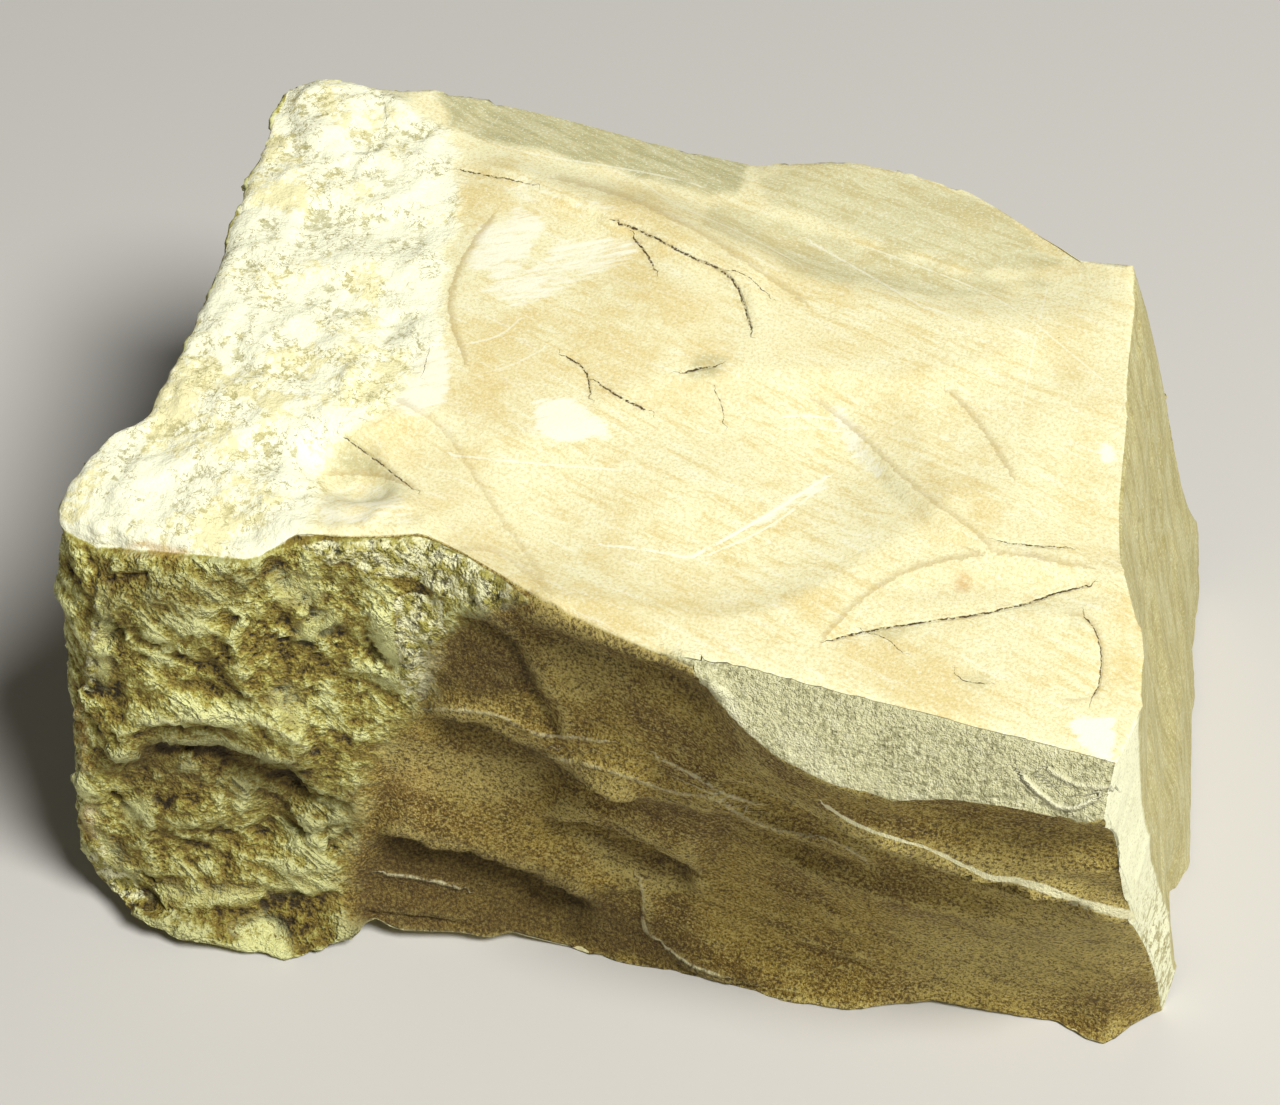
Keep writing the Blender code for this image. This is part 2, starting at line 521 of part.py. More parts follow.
def thinned(mesh, faces):
    """The mesh with fewer triangles, kept where it bends most, and its resting flat still exactly at height 0."""
    helper = bpy.data.objects.new("thinning", mesh)
    bpy.context.scene.collection.objects.link(helper)
    split = helper.modifiers.new("triangles", "TRIANGULATE")
    split.quad_method = "SHORTEST_DIAGONAL"
    thin = helper.modifiers.new("thin", "DECIMATE")
    thin.ratio = faces / (2 * len(mesh.polygons))
    bpy.context.view_layer.update()
    result = bpy.data.meshes.new_from_object(helper.evaluated_get(bpy.context.evaluated_depsgraph_get()))
    bpy.data.objects.remove(helper)
    for vertex in result.vertices:
        vertex.co.z = max(vertex.co.z, 0.0)
    return result


def build():
    for old in list(bpy.data.objects):
        bpy.data.objects.remove(old)
    points, quads = specimen_points(GRID_STEP)
    mesh = thinned(mesh_from(points, quads, "block_fine"), FACES_KEPT)
    mesh.name = NODE_NAME
    mesh.materials.clear()
    mesh.materials.append(stone_material())
    mesh.shade_smooth()
    mesh.set_sharp_from_angle(angle=math.radians(28.0))
    block = bpy.data.objects.new(NODE_NAME, mesh)
    bpy.context.scene.collection.objects.link(block)


build()
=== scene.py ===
# %% [markdown]
# # A magnesite specimen
# The object is one block of massive magnesite, about 108 mm long. Most of it is dense and as fine as
# unglazed porcelain, so it breaks in smooth shells like flint. Its left end is a rough, crumbly crust of
# paler grains.
#
# It could be sculpted by hand, or the plain solid of the frame could be subdivided and displaced. Here
# the surface is worked out again from the same edges and breaks as that solid, on a grid more than four
# times as close. So the broad shape stays the same, and arrises, ledges and crumbs get vertices of their
# own.

# %% The fixed frame
import json
import math

import bpy
import numpy as np
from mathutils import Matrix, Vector

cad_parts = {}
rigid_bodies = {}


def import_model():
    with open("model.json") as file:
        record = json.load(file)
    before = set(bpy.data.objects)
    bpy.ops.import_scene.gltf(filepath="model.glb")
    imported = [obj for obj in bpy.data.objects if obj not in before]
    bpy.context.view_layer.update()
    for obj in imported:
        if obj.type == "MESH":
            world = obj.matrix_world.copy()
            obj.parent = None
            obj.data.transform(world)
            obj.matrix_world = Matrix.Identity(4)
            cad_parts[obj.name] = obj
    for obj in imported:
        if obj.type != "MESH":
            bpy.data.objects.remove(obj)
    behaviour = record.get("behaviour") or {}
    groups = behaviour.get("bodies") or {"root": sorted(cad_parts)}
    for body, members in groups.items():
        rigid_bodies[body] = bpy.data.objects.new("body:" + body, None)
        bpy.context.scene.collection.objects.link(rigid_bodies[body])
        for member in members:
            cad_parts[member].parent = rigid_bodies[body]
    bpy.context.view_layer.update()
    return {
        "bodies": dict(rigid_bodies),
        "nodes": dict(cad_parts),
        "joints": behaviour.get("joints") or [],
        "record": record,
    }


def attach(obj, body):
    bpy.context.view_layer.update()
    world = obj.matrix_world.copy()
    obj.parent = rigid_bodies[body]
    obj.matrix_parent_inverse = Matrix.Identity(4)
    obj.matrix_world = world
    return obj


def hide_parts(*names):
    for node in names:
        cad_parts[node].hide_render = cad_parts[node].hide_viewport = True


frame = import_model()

print("nodes:", sorted(frame["nodes"]))

# %% [markdown]
# ## The camera
# The block is seen from its front right and from above, at 45 degrees. Places on it can be named by where
# they are seen from there, in steps of a view that is 1280 steps wide and 1105 high. A long lens keeps
# the block's edges nearly parallel, as they are in a close-up of a mineral.
#
# The camera comes first because the same numbers serve twice: they place the camera, and they turn what
# is seen into places on the stone.

# %% The viewing direction
MM = 0.001
X, Y, Z = 0, 1, 2
SEEN_WIDTH = 114.5
TOP_HEIGHT = 55.0
BLOCK_MIDDLE = np.array([4.9, -3.5, 0.0])
VIEW_AZIMUTH = math.radians(14.0)
VIEW_ELEVATION = math.radians(45.0)
VIEW_MIDDLE = (640.0, 552.5)
VIEW_WIDE = 1280.0
BLOCK_STEPS_WIDE = 1145.0
FOCAL_STEPS = 3200.0
STEP = SEEN_WIDTH / BLOCK_STEPS_WIDE
VIEW_TARGET = np.array([0.0, 0.0, TOP_HEIGHT / 2])
SIGHT_RIGHT = np.array([math.cos(VIEW_AZIMUTH), math.sin(VIEW_AZIMUTH), 0.0])
SIGHT_BACK = np.array([
    math.sin(VIEW_AZIMUTH) * math.cos(VIEW_ELEVATION),
    -math.cos(VIEW_AZIMUTH) * math.cos(VIEW_ELEVATION),
    math.sin(VIEW_ELEVATION),
])
SIGHT_UP = np.cross(SIGHT_BACK, SIGHT_RIGHT)
EYE = VIEW_TARGET + SIGHT_BACK * FOCAL_STEPS * STEP
SENSOR_WIDTH = 36.0


def make_camera():
    """A lens of focal length = sensor width x focal steps / view width, at the eye, turned to the block."""
    data = bpy.data.cameras.new("camera")
    data.sensor_fit = "HORIZONTAL"
    data.sensor_width = SENSOR_WIDTH
    data.lens = SENSOR_WIDTH * FOCAL_STEPS / VIEW_WIDE
    data.clip_start = 0.01
    camera = bpy.data.objects.new("camera", data)
    bpy.context.scene.collection.objects.link(camera)
    camera.location = (EYE - BLOCK_MIDDLE) * MM
    camera.rotation_euler = (math.pi / 2 - VIEW_ELEVATION, 0.0, VIEW_AZIMUTH)
    bpy.context.scene.camera = camera
    return camera


camera = make_camera()
print("camera at", [round(value, 3) for value in camera.location])
print("lens:", round(camera.data.lens, 1), "mm")

# %% [markdown]
# ## From what is seen to places on the stone
# A line of sight meets a plane in one point. So a place on the stone is fixed by where it is seen and by
# one coordinate that is known, such as the height of the top. The way back, from a point to where it is
# seen, is a plain perspective division, and it lets cracks and patches be drawn where the eye finds them.


# %% Lines of sight
def sight(picks, axis):
    """Points where lines of sight cross planes. Each pick holds steps right, steps down and its
    coordinate on axis.

    The line of sight is the eye plus t times a ray, and t is the coordinate's distance divided by the
    ray's slope."""
    picks = np.array(picks, float)
    right = (picks[:, 0] - VIEW_MIDDLE[0]) / FOCAL_STEPS
    down = (picks[:, 1] - VIEW_MIDDLE[1]) / FOCAL_STEPS
    rays = np.outer(right, SIGHT_RIGHT) - np.outer(down, SIGHT_UP) - SIGHT_BACK
    reach = (picks[:, 2] - EYE[axis]) / rays[:, axis]
    return EYE + rays * reach[:, None]


def seen(points):
    """Where points are seen, as steps right and down: their offset from the eye along each axis over
    their depth."""
    away = points - EYE
    depth = -(away @ SIGHT_BACK)
    right = VIEW_MIDDLE[0] + FOCAL_STEPS * (away @ SIGHT_RIGHT) / depth
    down = VIEW_MIDDLE[1] - FOCAL_STEPS * (away @ SIGHT_UP) / depth
    return np.column_stack([right, down])


# %% [markdown]
# ## The edges
# The block has eight corners and twelve edges. Each edge is a run of points, read along what can be seen
# of it and completed at the back and below. The front right top corner is the one that the grey
# facet and the pale strip take off further down.

# %% Corners
FRONT_LEFT_TOP = sight([(87, 552, 53.0)], Z)[0]
BACK_LEFT_TOP = sight([(290, 83, 56.0)], Z)[0]
BACK_RIGHT_TOP = sight([(1132, 267, 55.0)], Z)[0]
FRONT_RIGHT_TOP = np.array([50.9, -46.8, 55.0])
FRONT_LEFT_LOW = sight([(128, 908, 4.0)], Z)[0]
FRONT_RIGHT_LOW = sight([(1162, 1010, 0.0)], Z)[0]
BACK_LEFT_LOW = np.array([-43.0, 29.0, 3.0])
BACK_RIGHT_LOW = np.array([54.5, 36.0, 1.0])

# %% Runs of the edges
TOP_FRONT_RUN = [
    (130, 551, 53.0), (200, 556, 53.5), (262, 563, 53.5), (285, 545, 54.0), (302, 532, 54.5),
    (350, 536, 54.5), (425, 536, 54.5), (455, 548, 54.5), (510, 580, 54.5), (545, 600, 54.5),
    (600, 622, 55.0), (650, 642, 55.0), (700, 657, 55.0),
]
TOP_FRONT_BULGE = [(19.0, -45.5, 55.0), (30.0, -49.3, 55.0), (42.0, -48.3, 55.0)]
TOP_BACK_RUN = [
    (345, 79, 56.0), (372, 87, 55.5), (430, 92, 55.0), (490, 98, 54.0), (505, 106, 53.5),
    (560, 120, 53.0), (640, 141, 52.0), (700, 155, 51.5), (757, 168, 51.0), (790, 163, 51.5),
    (830, 160, 52.0), (870, 163, 52.0), (920, 172, 52.0), (970, 193, 52.0), (1020, 222, 52.8),
    (1060, 246, 54.0), (1079, 260, 54.5), (1105, 264, 55.0),
]
TOP_LEFT_RUN = [
    (60, 532, 52.0), (60, 508, 52.5), (70, 480, 53.5), (105, 435, 54.0), (150, 416, 54.5),
    (160, 395, 54.5), (190, 341, 55.0), (200, 305, 55.0), (218, 296, 55.0), (222, 262, 55.0),
    (240, 210, 55.0), (262, 150, 55.5), (275, 105, 56.0),
]
TOP_RIGHT_RUN = [
    (1141, 709, 55.0), (1144, 656, 55.0), (1141, 630, 55.0), (1131, 606, 55.0), (1121, 560, 55.0),
    (1120, 500, 55.0), (1127, 420, 55.0), (1127, 386, 55.0), (1131, 330, 55.0), (1134, 292, 55.0),
]
LOW_FRONT_RUN = [
    (150, 927, 3.5), (185, 941, 2.0), (235, 954, 0.8), (300, 966, 0.0), (333, 955, 0.5), (357, 931, 2.5),
    (374, 923, 3.0), (400, 933, 2.0), (490, 938, 1.5), (515, 932, 2.0), (560, 945, 1.0), (640, 964, 0.5),
    (700, 976, 0.5), (780, 1000, 0.0), (850, 1013, 0.0), (930, 1001, 0.8), (1000, 1015, 0.2),
    (1055, 1023, 0.0), (1085, 1041, 0.0), (1105, 1048, 0.0), (1130, 1026, 0.3), (1152, 1013, 0.3),
]
LOW_RIGHT_RUN = [
    (1177, 985, 1.0), (1171, 930, 3.0), (1164, 896, 4.0), (1173, 887, 2.5), (1188, 868, 1.0),
    (1190, 800, 1.0), (1190, 712, 1.0), (1195, 700, 1.0), (1193, 650, 1.0), (1200, 590, 1.0),
]
FRONT_LEFT_RUN = [
    (115, 880, -34.5), (105, 820, -35.0), (99, 765, -35.5), (95, 720, -36.0), (94, 682, -36.0),
    (104, 650, -36.5), (114, 625, -36.5), (103, 587, -36.8),
]
FRONT_RIGHT_RUN = [
    (1161, 985, -24.6), (1161, 952, -27.5), (1150, 928, -31.5), (1142, 912, -34.5), (1131, 869, -38.5),
    (1121, 819, -42.5),
]
BACK_RIGHT_RUN = [
    (1196, 530, 10.0), (1187, 485, 18.0), (1178, 440, 27.0), (1160, 370, 39.0), (1145, 310, 49.0),
]


# %% The twelve edges
def edge(start, middle, end):
    """One edge as an array of points, with its two corners."""
    return np.vstack([start, *middle, end])


TOP_FRONT = edge(FRONT_LEFT_TOP, [sight(TOP_FRONT_RUN, Z), TOP_FRONT_BULGE], FRONT_RIGHT_TOP)
TOP_BACK = edge(BACK_LEFT_TOP, [sight(TOP_BACK_RUN, Z)], BACK_RIGHT_TOP)
TOP_LEFT = edge(FRONT_LEFT_TOP, [sight(TOP_LEFT_RUN, Z)], BACK_LEFT_TOP)
TOP_RIGHT = edge(FRONT_RIGHT_TOP, [sight(TOP_RIGHT_RUN, Z)], BACK_RIGHT_TOP)
LOW_FRONT = edge(FRONT_LEFT_LOW, [sight(LOW_FRONT_RUN, Z)], FRONT_RIGHT_LOW)
LOW_BACK = edge(BACK_LEFT_LOW, [[(-24.0, 33.0, 1.5), (2.0, 36.5, 0.5), (30.0, 35.5, 1.5)]], BACK_RIGHT_LOW)
LOW_LEFT_RUN = [(-45.5, -24.0, 4.0), (-46.5, -6.0, 2.0), (-45.5, 14.0, 2.5)]
LOW_LEFT = edge(FRONT_LEFT_LOW, [LOW_LEFT_RUN], BACK_LEFT_LOW)
LOW_RIGHT = edge(FRONT_RIGHT_LOW, [sight(LOW_RIGHT_RUN, Z)], BACK_RIGHT_LOW)
FRONT_LEFT = edge(FRONT_LEFT_LOW, [sight(FRONT_LEFT_RUN, Y)], FRONT_LEFT_TOP)
FRONT_RIGHT = edge(FRONT_RIGHT_LOW, [sight(FRONT_RIGHT_RUN, Y)], FRONT_RIGHT_TOP)
BACK_LEFT = edge(BACK_LEFT_LOW, [[(-46.0, 32.0, 20.0), (-47.0, 32.5, 40.0)]], BACK_LEFT_TOP)
BACK_RIGHT = edge(BACK_RIGHT_LOW, [sight(BACK_RIGHT_RUN, Z)], BACK_RIGHT_TOP)
print("top front edge:", len(TOP_FRONT), "points, underside front edge:", len(LOW_FRONT), "points")

# %% [markdown]
# ## Six faces on one lattice
# Each face is a Coons patch: the four edges blended across it, minus the blend of its corners. Broken
# rock has jogs in its edges that die out a few millimetres into a face, so the broad run and the jogs are
# blended separately.
#
# The faces could be six meshes that are merged afterwards. A shared lattice is simpler: a grid point has
# the same key in every face that it lies in, and equal keys become one vertex, so the block is closed
# from the start. The crust gets closer grid lines than the dense stone, because its crumbs are small.


# %% Grid arithmetic
def resample(curve, shares):
    """The points of a run of straight pieces at the given shares of its whole length."""
    lengths = np.linalg.norm(np.diff(curve, axis=0), axis=1)
    travelled = np.concatenate([[0.0], np.cumsum(lengths)])
    asked = shares * travelled[-1]
    return np.column_stack([np.interp(asked, travelled, curve[:, axis]) for axis in range(3)])


def smoothed(curve, shares, window):
    """The curve's broad run: a Gaussian average along it, shifted so that both ends stay where they are."""
    weights = np.exp(-(((shares[:, None] - shares[None, :]) / window) ** 2)) * np.gradient(shares)[None, :]
    broad = (weights @ curve) / weights.sum(axis=1)[:, None]
    start, end = curve[0] - broad[0], curve[-1] - broad[-1]
    return broad + (1 - shares)[:, None] * start + shares[:, None] * end


EDGE_JOG_SPREAD = 6.0


def face(low, high, left, right, across, up, window=0.12):
    """A Coons patch: low and high runs blended upwards, plus left and right runs blended across, minus
    the blend of the corners, plus each edge's jogs times exp(-distance from that edge / spread)."""
    u, v = across[None, :, None], up[:, None, None]
    runs = [smoothed(curve, across, window) for curve in (low, high)]
    runs += [smoothed(curve, up, window) for curve in (left, right)]
    jogs = [curve - run for curve, run in zip((low, high, left, right), runs)]
    corners = (1 - u) * (1 - v) * low[0] + u * (1 - v) * low[-1] + (1 - u) * v * high[0] + u * v * high[-1]
    surface = (1 - v) * runs[0][None] + v * runs[1][None]
    surface = surface + (1 - u) * runs[2][:, None] + u * runs[3][:, None] - corners
    tall = np.linalg.norm(high - low, axis=1).mean()
    wide = np.linalg.norm(right - left, axis=1).mean()
    sideways = (False, False, True, True)
    for jog, away, size, upright in zip(jogs, (v, 1 - v, u, 1 - u), (tall, tall, wide, wide), sideways):
        fade = np.exp(-away * size / EDGE_JOG_SPREAD) * (1 - away)
        surface = surface + fade * (jog[:, None] if upright else jog[None])
    return surface


# %% The lattice
BLOCK_SIZE = np.array([106.0, 72.0, 56.0])
CRUST_SHARE = 0.3
CRUST_CELL = 0.45
STONE_CELL = 0.66
DEEP_CELL = 0.655
TALL_CELL = 0.6


def lattice_shares(factor):
    """Where the grid lines lie along, across and up the block, each from 0 to 1, closer together in the
    crust."""
    long, deep, tall = BLOCK_SIZE
    in_crust = round(CRUST_SHARE * long / (CRUST_CELL * factor))
    in_stone = round((1 - CRUST_SHARE) * long / (STONE_CELL * factor))
    crust = np.linspace(0.0, CRUST_SHARE, in_crust, endpoint=False)
    stone = np.linspace(CRUST_SHARE, 1.0, in_stone + 1)
    return (
        np.concatenate([crust, stone]),
        np.linspace(0.0, 1.0, round(deep / (DEEP_CELL * factor)) + 1),
        np.linspace(0.0, 1.0, round(tall / (TALL_CELL * factor)) + 1),
    )


def block_grid(shares):
    """The six faces on one lattice: points, four-cornered faces, and each point's place in a plain box of
    the same size, in mm. A point's key is its three grid numbers in one, and equal keys are one point."""
    along, deep, tall = shares
    nx, ny, nz = (len(share) - 1 for share in shares)
    edges_x = [resample(curve, along) for curve in (LOW_FRONT, TOP_FRONT, LOW_BACK, TOP_BACK)]
    edges_y = [resample(curve, deep) for curve in (LOW_LEFT, LOW_RIGHT, TOP_LEFT, TOP_RIGHT)]
    edges_z = [resample(curve, tall) for curve in (FRONT_LEFT, FRONT_RIGHT, BACK_LEFT, BACK_RIGHT)]
    patches = [
        (face(edges_x[0], edges_x[1], edges_z[0], edges_z[1], along, tall), X, Z, Y, 0, False),
        (face(edges_x[2], edges_x[3], edges_z[2], edges_z[3], along, tall), X, Z, Y, ny, True),
        (face(edges_x[1], edges_x[3], edges_y[2], edges_y[3], along, deep), X, Y, Z, nz, False),
        (face(edges_x[0], edges_x[2], edges_y[0], edges_y[1], along, deep), X, Y, Z, 0, True),
        (face(edges_y[1], edges_y[3], edges_z[1], edges_z[3], deep, tall, 0.05), Y, Z, X, nx, False),
        (face(edges_y[0], edges_y[2], edges_z[0], edges_z[2], deep, tall), Y, Z, X, 0, True),
    ]
    lattices, points, quads, start = [], [], [], 0
    for surface, across, up, fixed, at, turned in patches:
        rows, columns = surface.shape[:2]
        lattice = np.zeros((rows, columns, 3), int)
        lattice[..., across] = np.arange(columns)[None, :]
        lattice[..., up] = np.arange(rows)[:, None]
        lattice[..., fixed] = at
        lattices.append(lattice.reshape(-1, 3))
        points.append(surface.reshape(-1, 3))
        index = start + np.arange(rows * columns).reshape(rows, columns)
        ring = [index[:-1, :-1], index[:-1, 1:], index[1:, 1:], index[1:, :-1]]
        quads.append(np.stack(ring[::-1] if turned else ring, axis=-1).reshape(-1, 4))
        start += rows * columns
    lattice = np.concatenate(lattices)
    keys = (lattice[:, 0] * (ny + 1) + lattice[:, 1]) * (nz + 1) + lattice[:, 2]
    _, first, shared = np.unique(keys, return_index=True, return_inverse=True)
    lattice = lattice[first]
    box = np.column_stack([share[lattice[:, axis]] * BLOCK_SIZE[axis] for axis, share in enumerate(shares)])
    return np.concatenate(points)[first], shared.reshape(-1)[np.concatenate(quads)], box


shares = lattice_shares(1.0)
points, quads, box = block_grid(shares)
print(len(points), "points,", len(quads), "four-cornered faces,", 2 * len(quads), "triangles")

# %% [markdown]
# ## Random fields that are the same on every run
# Rock is irregular at every size. Gradient noise gives soft swells, folded noise gives lumps with sharp
# hollows between them, and cell noise gives grains. Blender has textures for these, but the numbers are
# needed here to move vertices, so they are worked out as whole arrays from seeded random numbers.


# %% Normals and noise
def outward(points, quads):
    """The unit normal at each point: the sum of the normals of the faces around it."""
    corners = points[quads]
    flat = np.cross(corners[:, 2] - corners[:, 0], corners[:, 3] - corners[:, 1])
    total = np.zeros_like(points)
    for axis in range(3):
        for corner in range(4):
            total[:, axis] += np.bincount(quads[:, corner], flat[:, axis], len(points))
    return total / np.maximum(np.linalg.norm(total, axis=1), 1e-12)[:, None]


def noise(points, size, seed):
    """Gradient noise between about -1 and 1: random slopes at the corners of cubes of that size, blended
    by a quintic."""
    cell = points / size + seed * 17.31
    low = np.floor(cell).astype(int)
    part = cell - low
    ease = part**3 * (part * (part * 6 - 15) + 10)
    slopes = np.random.RandomState(seed).normal(size=(256, 3))
    slopes /= np.linalg.norm(slopes, axis=1)[:, None]
    shuffle = np.random.RandomState(seed + 1).permutation(256)
    total = np.zeros(len(points))
    for corner in np.ndindex(2, 2, 2):
        at = (low + corner) % 256
        pick = shuffle[(shuffle[(shuffle[at[:, 0]] + at[:, 1]) % 256] + at[:, 2]) % 256]
        weight = np.prod(np.where(corner, ease, 1 - ease), axis=1)
        total += weight * ((part - corner) * slopes[pick]).sum(axis=1)
    return total * 1.6


def lumps(points, size, octaves, seed):
    """Rounded lumps with sharp hollows between them: octaves of 1 - |noise|, centred on 0."""
    total = np.zeros(len(points))
    for octave in range(octaves):
        total += (0.45 - np.abs(noise(points, size / 2**octave, seed + octave))) * 0.5**octave
    return total


def rise(value, low, high):
    """0 below low, 1 above high, and a smooth step between."""
    t = np.clip((value - low) / (high - low), 0.0, 1.0)
    return t * t * (3 - 2 * t)


GRAIN_KINDS = 4096


def grains(points, size, seed):
    """Cell noise: every cube of that size holds one random middle, and a point's grain is that of the
    nearest.

    Returns the point's offset from that middle, in cube sizes, how much nearer it is than the second
    nearest, which is 0 on the joints between grains, and the grain's kind, a number that all its points
    share."""
    cell = points / size
    low = np.floor(cell).astype(int)
    jitter = np.random.RandomState(seed).uniform(size=(GRAIN_KINDS, 3))
    nearest, second = np.full((2, len(points)), 9.0)
    offset, kind = np.zeros_like(points), np.zeros(len(points), int)
    for shift in np.ndindex(3, 3, 3):
        at = low + np.array(shift) - 1
        pick = (at[:, 0] * 1597 + at[:, 1] * 51749 + at[:, 2] * 244957) % GRAIN_KINDS
        away = cell - at - jitter[pick]
        distance = np.linalg.norm(away, axis=1)
        closer = distance < nearest
        second = np.minimum(second, np.where(closer, nearest, distance))
        offset = np.where(closer[:, None], away, offset)
        kind = np.where(closer, pick, kind)
        nearest = np.minimum(nearest, distance)
    return offset, second - nearest, kind


def shaken(points, size, amount, seed):
    """Points moved about by noise of that size, so that what is read from them loses its straight
    borders."""
    return points + amount * np.column_stack([noise(points, size, seed + turn) for turn in range(3)])


def flakes(points, size, seed):
    """Broken facets: every grain is a small plane with a slope and a level of its own, so that the height
    steps where two grains meet, as on hackly rock."""
    offset, _, kind = grains(shaken(points, 1.4 * size, 0.4 * size, seed + 5), size, seed)
    slopes = np.random.RandomState(seed + 1).normal(size=(GRAIN_KINDS, 3))
    levels = np.random.RandomState(seed + 2).uniform(-0.4, 0.4, GRAIN_KINDS)
    return (offset * slopes[kind]).sum(axis=1) + levels[kind]


def stretched(points, along, factor):
    """Points squeezed along a direction, so that noise read from them is drawn out that many times along
    it."""
    along = np.array(along, float) / np.linalg.norm(along)
    return points - (1 - 1 / factor) * (points @ along)[:, None] * along


# %% [markdown]
# ## Where the crust begins
# The crust is the left end of the block, and its contact with the dense stone runs round it like a loose
# belt. So the contact is given as a place along the block for each angle about the long axis, roughened
# by noise. The same field says where the surface is rough and, later, where it is coloured as crust.

# %% The contact
CONTACT_TURN = np.radians([
    -90.0, -45.0, 0.0, 40.0, 60.0, 90.0, 118.0, 135.0, 150.0, 180.0, 210.0, 232.0, 270.0,
])
CONTACT_X = np.array([
    -20.0, -24.0, -30.0, -31.0, -23.0, -20.0, -23.5, -11.0, -9.5, -17.0, -19.0, -20.5, -20.0,
])


def crust_depth(points):
    """How far inside the crust a point is, in mm along X, negative in the dense stone."""
    turn = np.arctan2(points[:, Z] - TOP_HEIGHT / 2, points[:, Y])
    turn = np.where(turn < CONTACT_TURN[0], turn + 2 * math.pi, turn)
    return np.interp(turn, CONTACT_TURN, CONTACT_X) + 1.5 * noise(points, 9.0, 31) - points[:, X]


# %% [markdown]
# ## Breaks
# A blow takes a flake off along a plane, or along a shallow shell where the stone is dense. Boolean
# cutters would do it too, but they leave long thin triangles. Here a cutter is a formula: every point
# that lies beyond it is pressed back onto it, and the points beside its rim slide along the surface onto
# the rim, so the arris is crisp.


# %% Flat and shell-like breaks
def slid_to_rim(points, quads, signed, slope):
    """Points within half a grid step of the line signed = 0 moved along the surface onto it. slope is its
    gradient."""
    normals = outward(points, quads)
    along = slope - (slope * normals).sum(axis=1)[:, None] * normals
    steepness = np.maximum((along**2).sum(axis=1), 1e-9)
    spacing = np.linalg.norm(points[quads[:, 1]] - points[quads[:, 0]], axis=1).mean()
    near = np.abs(signed) / np.sqrt(steepness) < 0.45 * spacing
    near &= steepness > 0.05
    shift = -(signed / steepness)[:, None] * along
    return np.where(near[:, None], points + shift, points)


def facet(points, quads, corners):
    """A flat break: everything beyond the plane through three points, seen anticlockwise from outside, is
    taken off. Returns the points and how far each was beyond the plane."""
    a, b, c = (np.array(corner, float) for corner in corners)
    normal = np.cross(b - a, c - a)
    normal /= np.linalg.norm(normal)
    points = slid_to_rim(points, quads, (points - a) @ normal, np.broadcast_to(normal, points.shape))
    beyond = (points - a) @ normal
    return points - np.maximum(beyond, 0.0)[:, None] * normal, beyond


def cap_gap(local):
    """How far a point lies above the floor of a scoop, and whether it lies over the floor at all.

    In units where the footprint's radius is 1 and the depth 1/2, the ball has radius 5/4 and stands 3/4
    above."""
    radius = (local[:, :2] ** 2).sum(axis=1)
    return local[:, 2] - 0.75 + np.sqrt(np.maximum(1.25**2 - radius, 0.0)), radius < 1.25**2


def scoop(points, quads, wander, middle, facing, along, half_long, half_wide, depth):
    """A shell-like break: the footprint is an ellipse round middle, and the floor a cap of an ellipsoid
    that deep.

    wander is added to the places before they are measured, so that the rim isn't a true ellipse. Returns
    the points and how far each was above the floor."""
    facing = np.array(facing, float) / np.linalg.norm(facing)
    along = np.array(along, float) - np.dot(along, facing) * facing
    along /= np.linalg.norm(along)
    frame = np.array([along, np.cross(facing, along), facing])
    size = np.array([half_long, half_wide, 2 * depth])
    local = (points + wander - middle) @ frame.T / size
    gap, inside = cap_gap(local)
    reach = np.sqrt(np.maximum(1.25**2 - (local[:, :2] ** 2).sum(axis=1), 0.05))
    slope = np.column_stack([-local[:, :2] / reach[:, None], np.ones(len(local))]) / size
    length = np.linalg.norm(slope, axis=1)
    signed = np.where(inside & (np.abs(local[:, 2]) < 1.2), gap / length, 1e3)
    points = slid_to_rim(points, quads, signed, (slope / length[:, None]) @ frame)
    local = (points + wander - middle) @ frame.T / size
    gap, inside = cap_gap(local)
    above = np.where(inside & (local[:, 2] < 3.0), gap * size[2], -10.0)
    return points - np.maximum(above, 0.0)[:, None] * facing, above


# %% Places on the faces
FRONT = (0.0, -1.0, 0.0)
UP = (0.0, 0.0, 1.0)


def front(right, down, depth):
    """A place on the front face: steps right, steps down, and how far forward it lies in mm."""
    return sight([(right, down, -depth)], Y)[0]


def top(right, down, height=TOP_HEIGHT):
    """A place on the top face: steps right, steps down, and its height in mm."""
    return sight([(right, down, height)], Z)[0]


# %% The breaks of this block, from the largest to the smallest
# The chip along the upper front edge, and the strip down the right corner, each as three points of its plane
FLAT_BREAKS = [
    (top(706, 657), top(855, 821, 45.5), top(1112, 768, 54.6)),
    (top(1113, 767), top(1162, 1008, 0.0), top(1141, 709)),
]
# Shell-like breaks, as middle, the direction they face, their long direction, half length, half width and
# depth
TOP_BREAKS = [
    (top(700, 470), (0.0, -0.02, 1.0), (1, 0.2, 0), 26, 17, 1.3),
    (top(1010, 430), (0.05, 0.0, 1.0), (1, -0.9, 0), 17, 11, 0.9),
    (top(960, 600), (0.0, 0.12, 1.0), (1, 0.3, 0), 12.5, 4.0, 1.2),
    (top(372, 470), (-0.35, -0.2, 1.0), (1, -0.5, 0), 6.0, 3.2, 1.0),
]
FRONT_BREAKS = [
    ((50.0, -41.5, 41.5), (0.05, -1.0, -0.25), (1, 0, -0.2), 20, 7.2, 2.4),
    (front(950, 940, 35), (0.05, -1.0, 0.1), (1, 0, -0.45), 27, 11, 1.6),
    (front(470, 650, 37), (0.0, -1.0, -0.2), (1, 0, -0.6), 7.5, 5.0, 1.6),
    (front(488, 764, 34), (0.0, -1.0, -0.3), (1, 0, -0.08), 8.5, 5.2, 2.2),
    (front(620, 850, 32), (-0.1, -1.0, -0.3), (1, 0, -0.62), 9.5, 3.8, 1.8),
    (front(465, 866, 32), (0.0, -1.0, -0.4), (1, 0, -0.2), 10.5, 4.2, 1.8),
]
